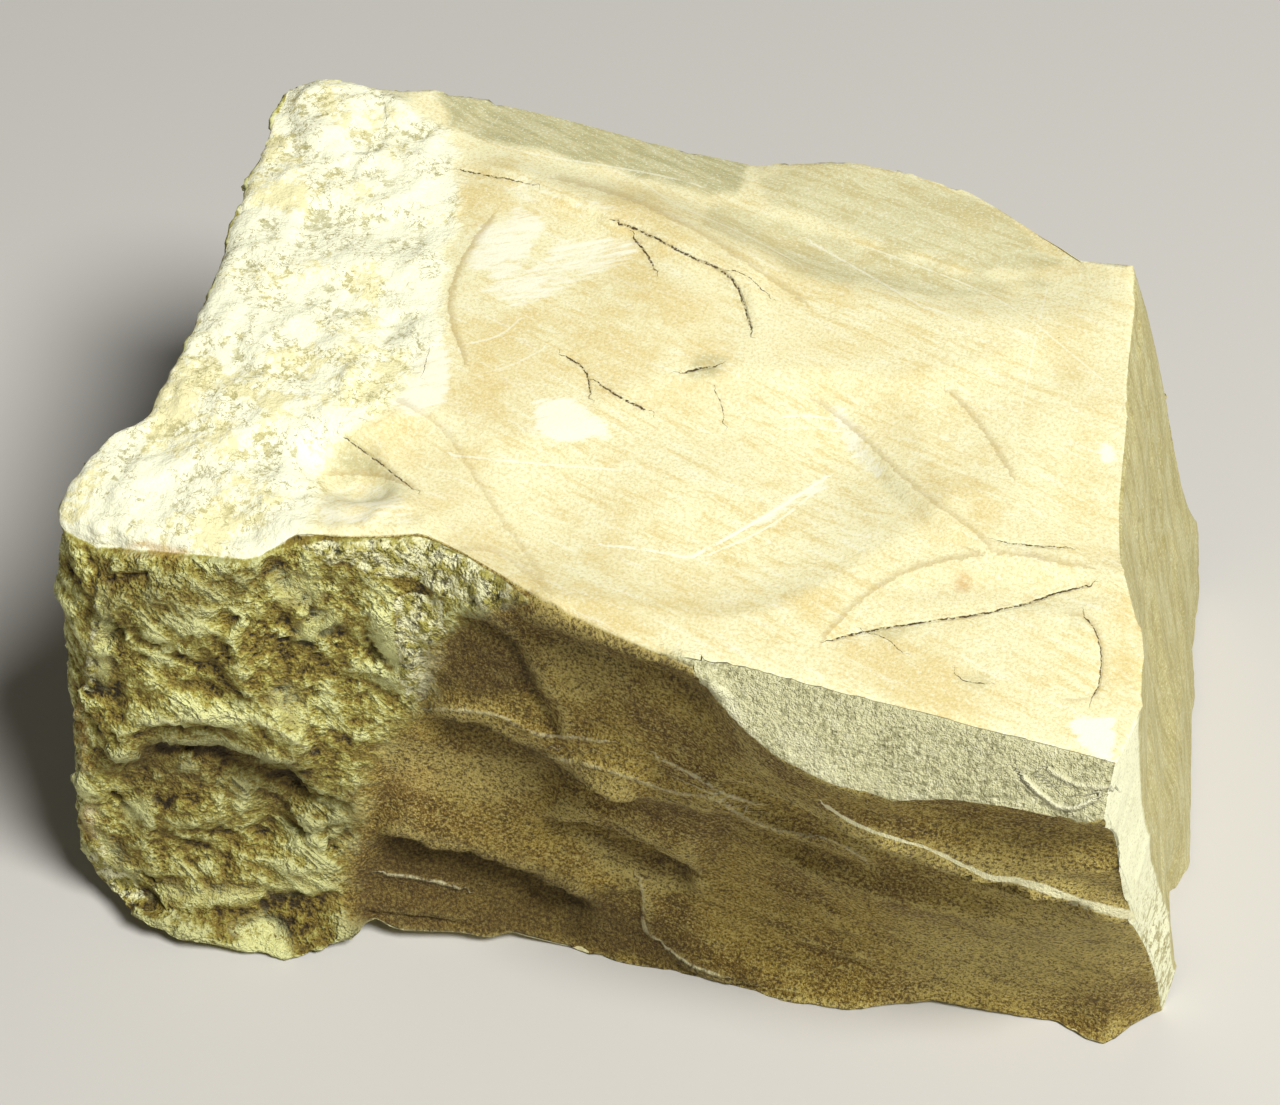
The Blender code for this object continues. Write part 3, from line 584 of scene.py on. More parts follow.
CRUST_HOLLOWS = [
    (front(235, 752, 36), (0.0, -1.0, -0.7), (1, 0, 0.02), 11.5, 4.2, 3.4),
    (front(250, 850, 35), (0.1, -1.0, -0.3), (1, 0, 0.3), 8.0, 4.2, 1.8),
    (front(180, 640, 36), (0.0, -1.0, -0.4), (1, 0, 0.0), 7.0, 3.2, 1.3),
    ((-46.5, 6.0, 34.0), (-1.0, 0.1, 0.1), (0, 1, 0.3), 17, 11, 2.6),
    ((-46.0, -8.0, 12.0), (-1.0, -0.1, -0.3), (0, 1, -0.4), 12, 7, 2.2),
    ((-47.0, 22.0, 14.0), (-1.0, 0.3, -0.2), (0, 1, 0.6), 11, 7, 2.2),
]
RIGHT_BREAKS = [
    ((52.5, 2.0, 36.0), (1.0, 0.0, 0.15), (0.1, 1, 0.1), 26, 16, 1.5),
    ((56.5, 24.0, 14.0), (1.0, 0.3, 0.1), (0, 1, 0.3), 17, 10, 1.5),
    ((58.5, -7.5, 11.0), (1.0, -0.2, 0.1), (0, 0.35, 1), 8, 3.0, 0.9),
]
BACK_BREAKS = [
    ((30.0, 34.5, 30.0), (0.2, 1.0, 0.05), (1, 0, 0.35), 30, 24, 4.0),
    ((-14.0, 36.5, 17.0), (-0.1, 1.0, -0.15), (1, 0, -0.3), 25, 15, 3.2),
    ((-8.0, 35.2, 40.0), (0.0, 1.0, 0.1), (1, 0, 0.1), 20, 9, 1.8),
]
# The top falls away to the back behind this crease, and is lifted level in front of it
CREASE = [
    (430, 118), (500, 146), (584, 162), (661, 175), (720, 196), (790, 226), (870, 252), (960, 276),
    (1060, 286), (1125, 290),
]

# %% [markdown]
# ## Ledges
# Between two breaks a lip of harder stone often stands out over a hollow. It is a height field: one step
# up across a line, which fades away from the line on both sides. The line is given as a list of points,
# and noise makes it ragged.


# %% Lines, levels and ledges
def from_line(flat, line):
    """For places in a plane: the signed distance in mm to a run of straight pieces, positive on its left,
    tapering past its ends as the plain distance does."""
    best = np.full(len(flat), 1e9)
    signed = np.zeros(len(flat))
    for a, b in zip(line[:-1], line[1:]):
        run = b - a
        t = np.clip(((flat - a) @ run) / (run @ run), 0.0, 1.0)
        gap = flat - (a + t[:, None] * run)
        distance = np.linalg.norm(gap, axis=1)
        side = np.where(run[0] * gap[:, 1] - run[1] * gap[:, 0] >= 0, 1.0, -1.0)
        signed = np.where(distance < best, side * distance, signed)
        best = np.minimum(best, distance)
    return signed


def rounded(line, times=2):
    """A line with its corners cut: each piece gives way to two points at 1/4 and 3/4 of it, a few times
    over."""
    line = np.array(line, float)
    for _ in range(times):
        cut = np.stack([0.75 * line[:-1] + 0.25 * line[1:], 0.25 * line[:-1] + 0.75 * line[1:]], axis=1)
        line = np.concatenate([line[:1], cut.reshape(-1, 2), line[-1:]])
    return line


def levelled(points, quads):
    """The top face in front of the crease, lifted to its full height over a few mm."""
    line = np.array([top(*pick) for pick in CREASE])[:, [X, Y]]
    behind = from_line(points[:, [X, Y]], line)
    lift = np.maximum(TOP_HEIGHT - points[:, Z], 0.0) * rise(-behind, -1.0, 7.0)
    on_top = rise(outward(points, quads)[:, Z], 0.4, 0.6) * rise(points[:, Z], 48.0, 50.0)
    moved = points.copy()
    moved[:, Z] += lift * on_top * rise(points[:, X], -30.0, -18.0)
    return moved


BREAK_WANDER = 1.7


def carved(points, quads):
    """The block with its flat and shell-like breaks taken off, from the largest to the smallest, and the
    depths that the chip, the strip and the hollow under the chip took off."""
    wander = BREAK_WANDER * np.column_stack([noise(points, 17.0, seed) for seed in (41, 42, 43)])
    depths = {}
    for name, corners in zip(("chip", "strip"), FLAT_BREAKS):
        points, depths[name] = facet(points, quads, corners)
    for shape in BACK_BREAKS + RIGHT_BREAKS + TOP_BREAKS + FRONT_BREAKS + CRUST_HOLLOWS:
        points, above = scoop(points, quads, wander, *shape)
        if shape is FRONT_BREAKS[0]:
            depths["hollow"] = above
    return points, depths


# %% The ledges of this block
# Each is a line in the view drawn from left to right, then in mm: how far the lip stands out over the
# hollow, how tall the shaded band under the lip is, and how soon the lip fades above and the hollow below
FRONT_LEDGES = [
    (((424, 707), (470, 708), (500, 716), (530, 735), (560, 748), (600, 766),
      (650, 786)), 2.9, 2.4, 3.0, 4.5),
    (((560, 748), (600, 762), (640, 785), (690, 796), (740, 810), (790, 832), (850, 848),
      (900, 862)), 1.5, 1.8, 3.0, 5.0),
    (((462, 606), (500, 618), (530, 648), (546, 684), (578, 735)), 1.3, 1.1, 3.0, 2.5),
    (((515, 600), (560, 618), (610, 634), (660, 650), (705, 668), (730, 700)), 2.2, 2.4, 1.2, 2.0),
    (((540, 806), (600, 816), (650, 832), (682, 852), (704, 880)), 3.2, 1.8, 4.0, 2.6),
    (((368, 832), (400, 826), (430, 832), (480, 843), (530, 860), (575, 880),
      (605, 907)), 3.8, 2.4, 4.0, 3.5),
    (((345, 902), (385, 910), (440, 915), (480, 922)), 1.0, 1.0, 1.5, 2.0),
    (((664, 945), (690, 962), (722, 975), (770, 985)), 0.9, 0.9, 1.5, 1.5),
    (((596, 880), (612, 892), (640, 884), (646, 900), (644, 926), (655, 936)), 0.7, 0.8, 1.5, 1.5),
    (((786, 936), (812, 946), (846, 958), (880, 962)), 0.6, 0.8, 2.0, 1.2),
    (((822, 922), (846, 934), (866, 938)), 0.5, 0.7, 1.2, 1.2),
    (((98, 757), (122, 744), (150, 722), (200, 720), (250, 735), (300, 752),
      (318, 775)), 5.0, 2.8, 3.0, 6.0),
    (((268, 772), (310, 782), (352, 796), (372, 822)), 1.8, 1.8, 2.5, 3.5),
    (((112, 636), (160, 630), (200, 650), (250, 682), (300, 728), (330, 742)), 1.5, 1.4, 2.5, 3.0),
    (((150, 905), (230, 899), (300, 890), (345, 880)), 1.5, 1.3, 1.6, 2.5),
    (((140, 872), (180, 864), (240, 872), (310, 860)), 0.9, 1.0, 1.6, 2.0),
    (((104, 778), (124, 792), (146, 818)), 1.2, 1.2, 1.5, 2.0),
    (((330, 560), (360, 590), (385, 640), (402, 690)), 0.9, 1.0, 2.0, 2.0),
]
# The rim stands out over a hollow above it, so its line is drawn from right to left
RIM_LEDGE = (((1162, 925), (1060, 895), (1000, 880), (930, 855), (862, 828), (812, 806)), 1.8, 1.7, 3.0, 4.0)
TOP_LEDGES = [
    (((470, 165), (560, 195), (630, 228), (700, 262), (745, 285), (755, 330)), 0.9, 0.9, 5.0, 4.0),
    (((825, 405), (870, 455), (920, 515), (990, 553), (1085, 580)), 0.6, 0.9, 4.0, 3.0),
    (((311, 81), (295, 103), (300, 124), (308, 146), (345, 160)), 1.1, 0.9, 3.0, 3.0),
    (((289, 245), (295, 226), (308, 210), (345, 197)), 1.1, 0.9, 3.0, 3.0),
]
LEDGE_RAGGED = 0.28


def ledge(points, quads, places, facing, picks, height, band, above, below):
    """A lip over a hollow. By the height over the line as it is seen, the profile is 0.6 on the lip,
    which fades above, and falls to -0.4 across the band, steep at first, and fades below it. It dies out
    towards both ends."""
    facing = np.array(facing, float) / np.linalg.norm(facing)
    reach = points @ facing
    on_face = rise(outward(points, quads) @ facing, 0.1, 0.4) * (reach > (reach.min() + reach.max()) / 2)
    line = rounded(picks)
    ragged = LEDGE_RAGGED * (noise(points, 3.1, 71) + 0.5 * noise(points, 1.3, 72))
    over = -STEP * from_line(places, line) + ragged
    fallen = 1 - (1 - np.clip(-over / band, 0.0, 1.0)) ** 2
    lip = 0.6 * np.exp(-np.maximum(over, 0.0) / above)
    hollow = 0.4 * np.exp(-np.maximum(-over - band, 0.0) / below)
    chord = line[-1] - line[0]
    share = (places - line[0]) @ chord / (chord @ chord)
    ends = rise(share, -0.02, 0.15) * rise(1 - share, -0.02, 0.15)
    return points + (height * on_face * ends * (lip * (1 - fallen) - hollow * fallen))[:, None] * facing


def stepped(points, quads):
    """The ledges: lips of harder stone that catch the light on the front and on the top."""
    places = seen(points)
    for shape in FRONT_LEDGES + [RIM_LEDGE]:
        points = ledge(points, quads, places, FRONT, *shape)
    for shape in TOP_LEDGES:
        points = ledge(points, quads, places, UP, *shape)
    return points


# %% [markdown]
# ## Wear and lumps
# The crust is soft, so its edges are rounded and its surface is lumpy. The dense stone keeps its arrises
# and only swells a little. Averaging each point with its neighbours rounds the edges, and noise along the
# normal makes the lumps. Sculpting by hand would give the same, but it couldn't be changed by changing a
# number.


# %% Softened, lumpy and resting
CRUST_EDGE_WEAR = 1.8
CRUST_LUMP = 1.15
SMOOTH_SWELL = 0.4


def softened(points, quads, share, radius):
    """Points drawn towards the mean of their four neighbours, once or more often, to round edges to about
    a radius."""
    ends = np.concatenate([quads[:, [0, 1]], quads[:, [1, 2]], quads[:, [2, 3]], quads[:, [3, 0]]])
    counts = np.bincount(ends[:, 0], minlength=len(points))
    spacing = np.linalg.norm(points[ends[:, 1]] - points[ends[:, 0]], axis=1).mean()
    for _ in range(max(1, round((radius / spacing) ** 2))):
        sums = [np.bincount(ends[:, 0], points[ends[:, 1], axis], len(points)) for axis in range(3)]
        points = points + 0.5 * share[:, None] * (np.column_stack(sums) / counts[:, None] - points)
    return points


def weathered(points, quads):
    """Worn edges and lumps on the crust, and a faint swell on the dense stone, along the outward
    direction."""
    crust = rise(crust_depth(points), -0.5, 2.5)
    points = softened(points, quads, crust, CRUST_EDGE_WEAR)
    rough = CRUST_LUMP * lumps(points * (1.0, 1.0, 1.3), 11.0, 3, 5)
    swell = SMOOTH_SWELL * noise(points, 16.0, 12)
    return points + (crust * rough + (1 - crust) * swell)[:, None] * outward(points, quads)


# The left end's front corner stands out to the left as a blunt pillar, by height and mm
PILLAR_HEIGHTS = [0.0, 5.0, 12.0, 18.0, 26.0, 36.0, 43.0, 49.0, 54.0]
PILLAR_REACH = [0.8, 2.2, 3.4, 3.2, 2.0, 2.3, 4.0, 3.0, 0.0]


PILLAR_MIDDLE = -31.5
PILLAR_WIDTH = 5.0


def swollen(points):
    """The left end with its pillar: a bulge of exp(-(distance / width) squared) along Y, by height."""
    bell = np.exp(-(((points[:, Y] - PILLAR_MIDDLE) / PILLAR_WIDTH) ** 2))
    reach = np.interp(points[:, Z], PILLAR_HEIGHTS, PILLAR_REACH)
    moved = points.copy()
    moved[:, X] -= bell * reach * rise(-points[:, X], 37.5, 41.0)
    return moved


# The underside's dome, in mm: its middle, its half length and half width, and how far it drops
DOME_MIDDLE = (4.0, 1.0)
DOME_REACH = (52.0, 34.0)
DOME_DROP = 3.4


def resting(points):
    """The underside, dropped by a share of 1 - (distance / reach) squared and cut off flat at height 0."""
    reach = (((points[:, [X, Y]] - DOME_MIDDLE) / DOME_REACH) ** 2).sum(axis=1)
    under = rise(8.0 - points[:, Z], 0.0, 6.0)
    moved = points.copy()
    moved[:, Z] -= DOME_DROP * under * np.maximum(1 - reach, 0.0)
    moved[:, Z] = np.maximum(moved[:, Z], 0.0)
    return moved


# %% [markdown]
# ## The broad shape
# These are the steps of the frame's own solid, on the closer grid. What was taken off at each break is
# kept as a depth in mm, because the fresh facets have a colour of their own and their borders are sharp.

# %% Carve the block
points = levelled(swollen(points), quads)
points, depths = carved(points, quads)
points = stepped(points, quads)
points = weathered(points, quads)

# %% [markdown]
# ## Which face a point is on
# The lattice still knows where each point was on the plain box. So its depth inside a face is its
# distance to that face's nearest border, and beyond the border it is negative. Like every border here it
# is a signed distance, because it stays sharp between two vertices, where a 0 or 1 painted on the
# vertices would blur.


# %% Faces as signed distances
def side_depth(box, axis, high):
    """How far inside a face's border a point lies, in mm: the least distance to the other faces, or minus
    the distance from this face for points that aren't on it."""
    away = BLOCK_SIZE[axis] - box[:, axis] if high else box[:, axis]
    others = [other for other in range(3) if other != axis]
    room = np.min([np.minimum(box[:, other], BLOCK_SIZE[other] - box[:, other]) for other in others], axis=0)
    return np.where(away < 1e-6, room, -away)


top_side = side_depth(box, Z, True)
front_side = side_depth(box, Y, False)
right_side = side_depth(box, X, True)
print("points on top:", int((top_side > 0).sum()), "on the front:", int((front_side > 0).sum()))

# %% The contact as it is seen on the top and on the front
TOP_CONTACT = [
    (372, 60), (380, 88), (455, 130), (460, 190), (445, 250), (440, 330), (395, 400), (335, 440),
    (325, 480), (300, 530), (296, 560),
]
FRONT_CONTACT = [
    (500, 540), (525, 600), (470, 618), (440, 640), (425, 690), (400, 725), (362, 775), (352, 850),
    (345, 900), (352, 940),
]
CONTACT_WANDER = 1.1

places = seen(points)
on_top = rise(top_side, -1.0, 0.0)
on_front = rise(front_side, -1.0, 0.0)


def left_of(places, line):
    """How far left of a line that runs down the view a place is seen, in mm."""
    right, down = np.array(line, float).T
    return STEP * (np.interp(places[:, 1], down, right) - places[:, 0])


crust = crust_depth(points)
crust = np.where(front_side > 0, left_of(places, FRONT_CONTACT), crust)
crust = np.where(top_side >= 0, left_of(places, TOP_CONTACT), crust)
crust += CONTACT_WANDER * noise(points, 4.0, 33)
print("share of the surface in the crust:", round(float((crust > 0).mean()), 3))

# %% [markdown]
# ## Cracks, scratches and ridges
# Each is a line drawn where it is seen. Its signed distance changes evenly across it, so the material can
# draw it far thinner than the grid. Lines that meet would disturb each other's sign, so they are in
# different families: cracks and their branches are dark hairlines, and seams are soft tan bands on one
# side of a line, partly painted shade below small steps. Ridges and the rim are cream lips, painted
# partly as highlight where they catch the light.

# %% Lines, each with its strength
CRACKS = [
    (((621, 223), (643, 231), (675, 248), (696, 258), (726, 272), (736, 285), (742, 298),
      (750, 325)), 1.0),
    (((568, 357), (586, 368), (590, 390)), 0.7),
    (((463, 170), (487, 175), (530, 183)), 0.5),
    (((1000, 541), (1020, 544), (1064, 547)), 0.5),
    (((383, 103), (384, 116)), 0.9),
    (((833, 638), (877, 628), (924, 621), (977, 614), (1024, 604), (1053, 593), (1086, 585)), 0.75),
    (((343, 436), (378, 462), (412, 487)), 0.6),
    (((1088, 619), (1096, 630), (1102, 653), (1100, 682), (1094, 694)), 0.6),
    (((712, 365), (700, 368), (685, 371)), 0.8),
]
BRANCHES = [
    (((636, 240), (648, 256), (653, 266)), 0.9),
    (((599, 384), (621, 398), (645, 410)), 0.8),
    (((732, 270), (745, 274), (770, 296)), 0.3),
    (((716, 392), (722, 404), (724, 420)), 0.4),
    (((866, 632), (884, 636), (900, 650)), 0.35),
    (((958, 676), (965, 682), (985, 684)), 0.4),
    (((430, 345), (424, 370)), 0.35),
]
# Seams, partly painted shade: a tan band on one side of each line, below a small step
SEAMS_AND_STEP_SHADE = [
    (((329, 475), (375, 474), (412, 487)), 0.7),
    (((1071, 615), (1083, 615), (1094, 626), (1102, 653), (1100, 682), (1092, 697), (1071, 698)), 0.5),
    (((827, 635), (863, 597), (907, 571), (951, 559), (1009, 553), (1053, 562), (1086, 568)), 0.7),
    (((490, 218), (479, 231), (458, 264), (447, 301), (452, 328), (463, 357)), 0.8),
    (((819, 403), (857, 433), (886, 462), (924, 497), (965, 524), (995, 553)), 0.6),
    (((951, 395), (977, 421), (1009, 471)), 0.7),
    (((311, 81), (295, 103), (300, 124), (308, 146), (321, 159)), 0.9),
    (((289, 245), (295, 226), (308, 210), (324, 205), (345, 197)), 0.9),
    (((396, 400), (440, 425), (470, 470), (500, 520), (540, 575)), 0.45),
    (((560, 180), (620, 195), (700, 232), (745, 262), (800, 300)), 0.6),
    (((430, 560), (470, 548), (500, 552), (545, 590)), 0.4),
]
SCRATCHES = [
    (((690, 558), (760, 520), (825, 478)), 1.0),
    (((600, 545), (640, 548), (690, 558)), 0.8),
    (((450, 455), (530, 463), (620, 470)), 0.7),
    (((810, 242), (860, 270), (921, 306)), 0.6),
    (((924, 306), (983, 327)), 0.5),
    (((468, 344), (501, 336), (519, 320)), 0.6),
    (((780, 417), (806, 415), (832, 419)), 0.7),
    (((1141, 560), (1136, 480), (1140, 420)), 0.4),
]
STROKES = [
    (((871, 248), (965, 283), (1018, 309), (1103, 380)), 0.5),
    (((1047, 289), (1033, 350), (1021, 409)), 0.5),
    (((706, 556), (770, 528), (815, 492)), 0.7),
    (((487, 372), (514, 365), (546, 347)), 0.5),
    (((786, 428), (812, 427), (838, 431)), 0.6),
    (((500, 146), (541, 156), (584, 162), (661, 175), (701, 186)), 0.5),
    (((637, 178), (675, 205), (715, 221), (750, 237), (800, 264)), 0.4),
]
RIDGES = [
    (((555, 758), (593, 764), (637, 779), (678, 793), (711, 793), (743, 816), (786, 832), (839, 839),
      (866, 859)), 0.6),
    (((658, 755), (685, 768), (711, 782), (733, 796), (760, 802)), 0.9),
    (((385, 873), (420, 876), (461, 887)), 0.9),
    (((640, 882), (646, 896), (642, 926), (656, 934)), 0.7),
    (((667, 943), (690, 961), (722, 973)), 1.0),
    (((435, 708), (499, 711), (535, 735), (573, 735), (605, 741)), 0.8),
    (((150, 722), (200, 716), (250, 712), (305, 745)), 0.6),
]
RIM = [
    (826, 806), (856, 826), (899, 839), (939, 852), (982, 877), (1015, 880), (1048, 889), (1081, 905),
    (1144, 918),
]
CHIP_CURVES = [
    (((1023, 778), (1042, 796), (1065, 812), (1095, 799)), 1.0),
    (((1050, 771), (1075, 786), (1108, 788)), 0.6),
]
LINE_REACH = 1.5


# %% Distances to lines
def to_lines(places, lines):
    """The signed distance to the nearest of a family of lines, in mm, and that line's strength where it
    is near."""
    best, signed, strength = np.full(len(places), 1e9), np.zeros(len(places)), np.zeros(len(places))
    for picks, weight in lines:
        distance = STEP * from_line(places, rounded(picks))
        closer = np.abs(distance) < best
        best = np.where(closer, np.abs(distance), best)
        signed = np.where(closer, distance, signed)
        near = 1 - rise(np.abs(distance), 0.6 * LINE_REACH, 0.95 * LINE_REACH)
        strength = np.where(closer, weight * near, strength)
    return np.clip(signed, -LINE_REACH, LINE_REACH), strength


# Each family with the face that it is seen on
LINE_FAMILIES = {
    "cracks": (CRACKS, on_top),
    "branches": (BRANCHES, on_top),
    "seams_and_step_shade": (SEAMS_AND_STEP_SHADE, on_top),
    "scratches": (SCRATCHES, on_top),
    "strokes": (STROKES, on_top),
    "ridges": (RIDGES, on_front),
    "curves": (CHIP_CURVES, 1.0),
    "rim": ([(RIM, 1.0)], on_front),
}
line_fields = {}
for name, (lines, on_face) in LINE_FAMILIES.items():
    line_fields[name], strength = to_lines(places, lines)
    line_fields[name + "_strength"] = strength * on_face
print("points near a crack:", int((line_fields["cracks_strength"] > 0).sum()))

# %% [markdown]
# ## Patches
# Blows and brushing have left white bruises on the top, and small facets are greyer. Some outlines are
# painted light and shade: the top's back facet is painted grey as shade, dark patches of painted shade lie
# under the ledges and edges of the front, and pale patches of painted light lie on up-facing floors. Each
# is an outline of a few corners, measured in the same view. Its depth inside the outline is positive, so
# that a soft step gives its mask.

# %% Outlines, each with its strength
BRUISES = [
    (((533, 402), (560, 398), (603, 415), (608, 438), (560, 440), (535, 425)), 0.9),
    (((462, 262), (480, 225), (520, 208), (545, 222), (530, 262), (500, 285)), 0.7),
    (((490, 300), (470, 292), (520, 268), (560, 240), (610, 228), (640, 240), (630, 262), (580, 282),
      (530, 308)), 0.6),
    (((822, 405), (840, 404), (862, 428), (890, 480), (878, 486), (855, 460)), 0.75),
    (((1065, 717), (1112, 717), (1112, 764), (1083, 747)), 1.0),
    (((1100, 438), (1112, 440), (1112, 474), (1102, 464)), 1.0),
    (((316, 494), (345, 482), (395, 484), (418, 502), (416, 526), (372, 532), (330, 528),
      (310, 514)), 0.5),
    (((376, 404), (400, 350), (436, 322), (452, 352), (447, 408), (420, 424)), 0.75),
    (((742, 528), (800, 488), (830, 470), (822, 494), (772, 522)), 0.7),
    (((470, 182), (520, 176), (600, 196), (640, 220), (590, 212), (520, 200)), 0.45),
    (((870, 292), (890, 284), (950, 316), (925, 320)), 0.3),
]
TAN_ZONES = [
    (((590, 290), (660, 268), (730, 330), (730, 390), (650, 410), (560, 380), (520, 345)), 0.9),
    (((440, 548), (400, 505), (440, 470), (480, 500), (545, 585), (520, 590)), 0.6),
    (((452, 300), (470, 340), (520, 350), (540, 400), (470, 400), (448, 360)), 0.6),
    (((640, 640), (560, 600), (620, 560), (720, 560), (760, 600), (700, 650)), 0.45),
    (((1020, 320), (1080, 300), (1112, 370), (1100, 420), (1060, 400)), 0.5),
    (((1080, 440), (1110, 480), (1118, 560), (1090, 560), (1060, 500)), 0.55),
    (((800, 330), (900, 330), (960, 400), (940, 470), (860, 420)), 0.4),
    (((800, 640), (830, 634), (860, 660), (840, 672)), 0.6),
    (((860, 580), (940, 562), (1060, 566), (1080, 578), (980, 608), (880, 622)), 0.35),
    (((640, 190), (760, 240), (830, 290), (760, 300), (690, 250)), 0.6),
    (((320, 415), (390, 410), (440, 440), (450, 470), (400, 470), (350, 440)), 0.7),
]
# Grey facets of the stone, and the top's back facet behind the crease painted grey as shade, because it falls
# away from the light
GREY_FACETS_AND_SHADE = [
    (((327, 444), (343, 436), (412, 487), (375, 474), (329, 475)), 0.6),
    (((688, 366), (700, 358), (722, 360), (716, 372), (692, 376)), 0.7),
    (((440, 92), (520, 100), (640, 130), (752, 162), (740, 200), (640, 176), (520, 146),
      (450, 126)), 0.95),
    (((756, 176), (840, 160), (930, 180), (1010, 220), (1060, 262), (980, 272), (860, 236),
      (770, 200)), 0.5),
    (((720, 200), (860, 246), (960, 272), (1060, 284), (960, 296), (820, 280), (700, 226)), 0.45),
    (((870, 628), (900, 622), (930, 618), (915, 634), (888, 644)), 0.4),
    (((950, 672), (990, 676), (985, 690), (960, 686)), 0.4),
    (((1066, 612), (1092, 616), (1080, 630), (1068, 626)), 0.4),
]
# Painted shade: dark patches under the ledges and overhanging edges of the front and the crust, where the
# shade falls
SHADE_PATCHES = [
    (((540, 606), (620, 634), (700, 660), (735, 720), (690, 700), (640, 672), (590, 652),
      (530, 640)), 0.7),
    (((440, 712), (500, 720), (560, 756), (600, 785), (560, 790), (520, 756), (450, 745)), 0.8),
    (((600, 774), (690, 800), (790, 838), (860, 860), (850, 880), (760, 850), (660, 820)), 0.5),
    (((555, 815), (640, 838), (695, 872), (690, 886), (640, 864), (580, 832)), 0.8),
    (((368, 842), (400, 834), (480, 846), (560, 872), (610, 900), (700, 945), (760, 990), (560, 945),
      (350, 940), (345, 880)), 1.25),
    (((440, 640), (470, 612), (510, 618), (545, 668), (530, 690), (480, 700), (440, 690)), 1.0),
    (((870, 826), (1108, 824), (1122, 850), (1000, 850), (900, 838)), 0.25),
    (((1050, 1012), (1100, 988), (1158, 968), (1158, 1000), (1110, 1050)), 0.4),
    (((105, 756), (150, 728), (200, 728), (300, 756), (320, 790), (300, 820), (200, 790),
      (130, 790)), 0.85),
    (((98, 558), (200, 572), (270, 572), (240, 600), (150, 620), (105, 610)), 0.6),
    (((275, 780), (350, 800), (356, 840), (300, 830)), 0.6),
    (((150, 905), (230, 905), (220, 940), (150, 930), (110, 900)), 0.5),
    (((130, 800), (350, 800), (350, 880), (310, 960), (180, 940), (110, 860)), 0.3),
    (((290, 905), (345, 890), (352, 930), (315, 962), (296, 955)), 0.5),
    (((310, 545), (380, 548), (400, 575), (360, 590), (320, 570)), 0.4),
]
RUST_SPOTS = [
    (((955, 579), (964, 577), (967, 590), (957, 592)), 0.8),
    (((118, 548), (150, 543), (190, 552), (186, 560), (150, 555), (120, 556)), 0.6),
    (((77, 705), (88, 704), (90, 770), (80, 765)), 0.5),
    (((85, 798), (96, 800), (100, 842), (88, 838)), 0.4),
    (((380, 770), (440, 765), (430, 800), (385, 795)), 0.15),
]
# Pale faces of the stone, and up-facing floors of scoops painted pale as painted light
PALE_AND_LIT_FACES = [
    (((232, 930), (262, 914), (284, 918), (291, 958), (262, 956)), 1.0),
    (((372, 640), (388, 622), (404, 640), (404, 668), (384, 662)), 1.0),
    (((298, 622), (332, 608), (345, 630), (318, 640), (300, 640)), 0.8),
    (((276, 572), (300, 570), (330, 590), (306, 608), (282, 600)), 0.7),
    (((268, 690), (286, 682), (308, 705), (300, 725), (276, 712)), 0.6),
    (((124, 806), (140, 798), (150, 800), (144, 814), (128, 818)), 1.0),
    (((94, 600), (104, 590), (112, 640), (106, 690), (96, 680)), 0.7),
    (((90, 790), (104, 830), (140, 872), (130, 890), (104, 860), (88, 820)), 0.7),
    (((155, 885), (240, 890), (330, 874), (330, 884), (240, 900), (150, 898)), 0.6),
    (((380, 740), (440, 750), (545, 762), (538, 790), (500, 800), (430, 795), (384, 780)), 0.6),
    (((530, 640), (575, 640), (640, 665), (600, 700), (560, 690)), 0.5),
    (((560, 826), (600, 838), (650, 870), (700, 888), (660, 896), (600, 866)), 0.8),
    (((703, 655), (724, 661), (737, 700), (750, 742), (774, 784), (756, 778), (738, 745),
      (724, 705)), 0.9),
    (((770, 700), (800, 690), (830, 760), (870, 800), (820, 790), (785, 745)), 0.3),
]
# Painted light: up-facing floors on the front's right painted pale where the light falls on them
PAINTED_LIGHT_ZONES = [
    (((900, 930), (1060, 900), (1150, 926), (1156, 965), (1060, 996), (920, 1000)), 0.8),
    (((985, 862), (1060, 866), (1130, 896), (1140, 912), (1080, 902), (1000, 884)), 1.0),
]
CRUMBLY_ZONES = [
    (((300, 545), (380, 535), (450, 530), (530, 582), (532, 606), (500, 612), (450, 596), (390, 575),
      (330, 560)), 0.9),
    (((392, 600), (412, 590), (440, 604), (446, 640), (432, 690), (410, 704), (400, 660)), 1.0),
    (((350, 882), (386, 878), (386, 896), (360, 904)), 0.9),
    (((62, 540), (100, 560), (98, 700), (70, 690)), 0.55),
    (((88, 800), (110, 850), (150, 900), (120, 905), (92, 860)), 0.6),
]


def inside(places, corners):
    """The depth inside a closed outline, in mm. The sign is that of a count of the sides crossed on the
    way right."""
    ring = np.array(corners + corners[:1], float)
    distance = STEP * np.abs(from_line(places, ring))
    crossed = np.zeros(len(places), bool)
    for a, b in zip(ring[:-1], ring[1:]):
        spans = (a[1] > places[:, 1]) != (b[1] > places[:, 1])
        at = a[0] + (places[:, 1] - a[1]) / (b[1] - a[1] if b[1] != a[1] else 1.0) * (b[0] - a[0])
        crossed ^= spans & (places[:, 0] < at)
    return np.where(crossed, distance, -distance)


def patches(places, outlines, softness):
    """The strongest of several outlines at each place, with soft borders that noise makes uneven."""
    mask = np.zeros(len(places))
    wander = 0.7 * noise(points, 3.0, 81)
    for corners, weight in outlines:
        mask = np.maximum(mask, weight * rise(inside(places, corners) + wander, -softness, softness))
    return mask


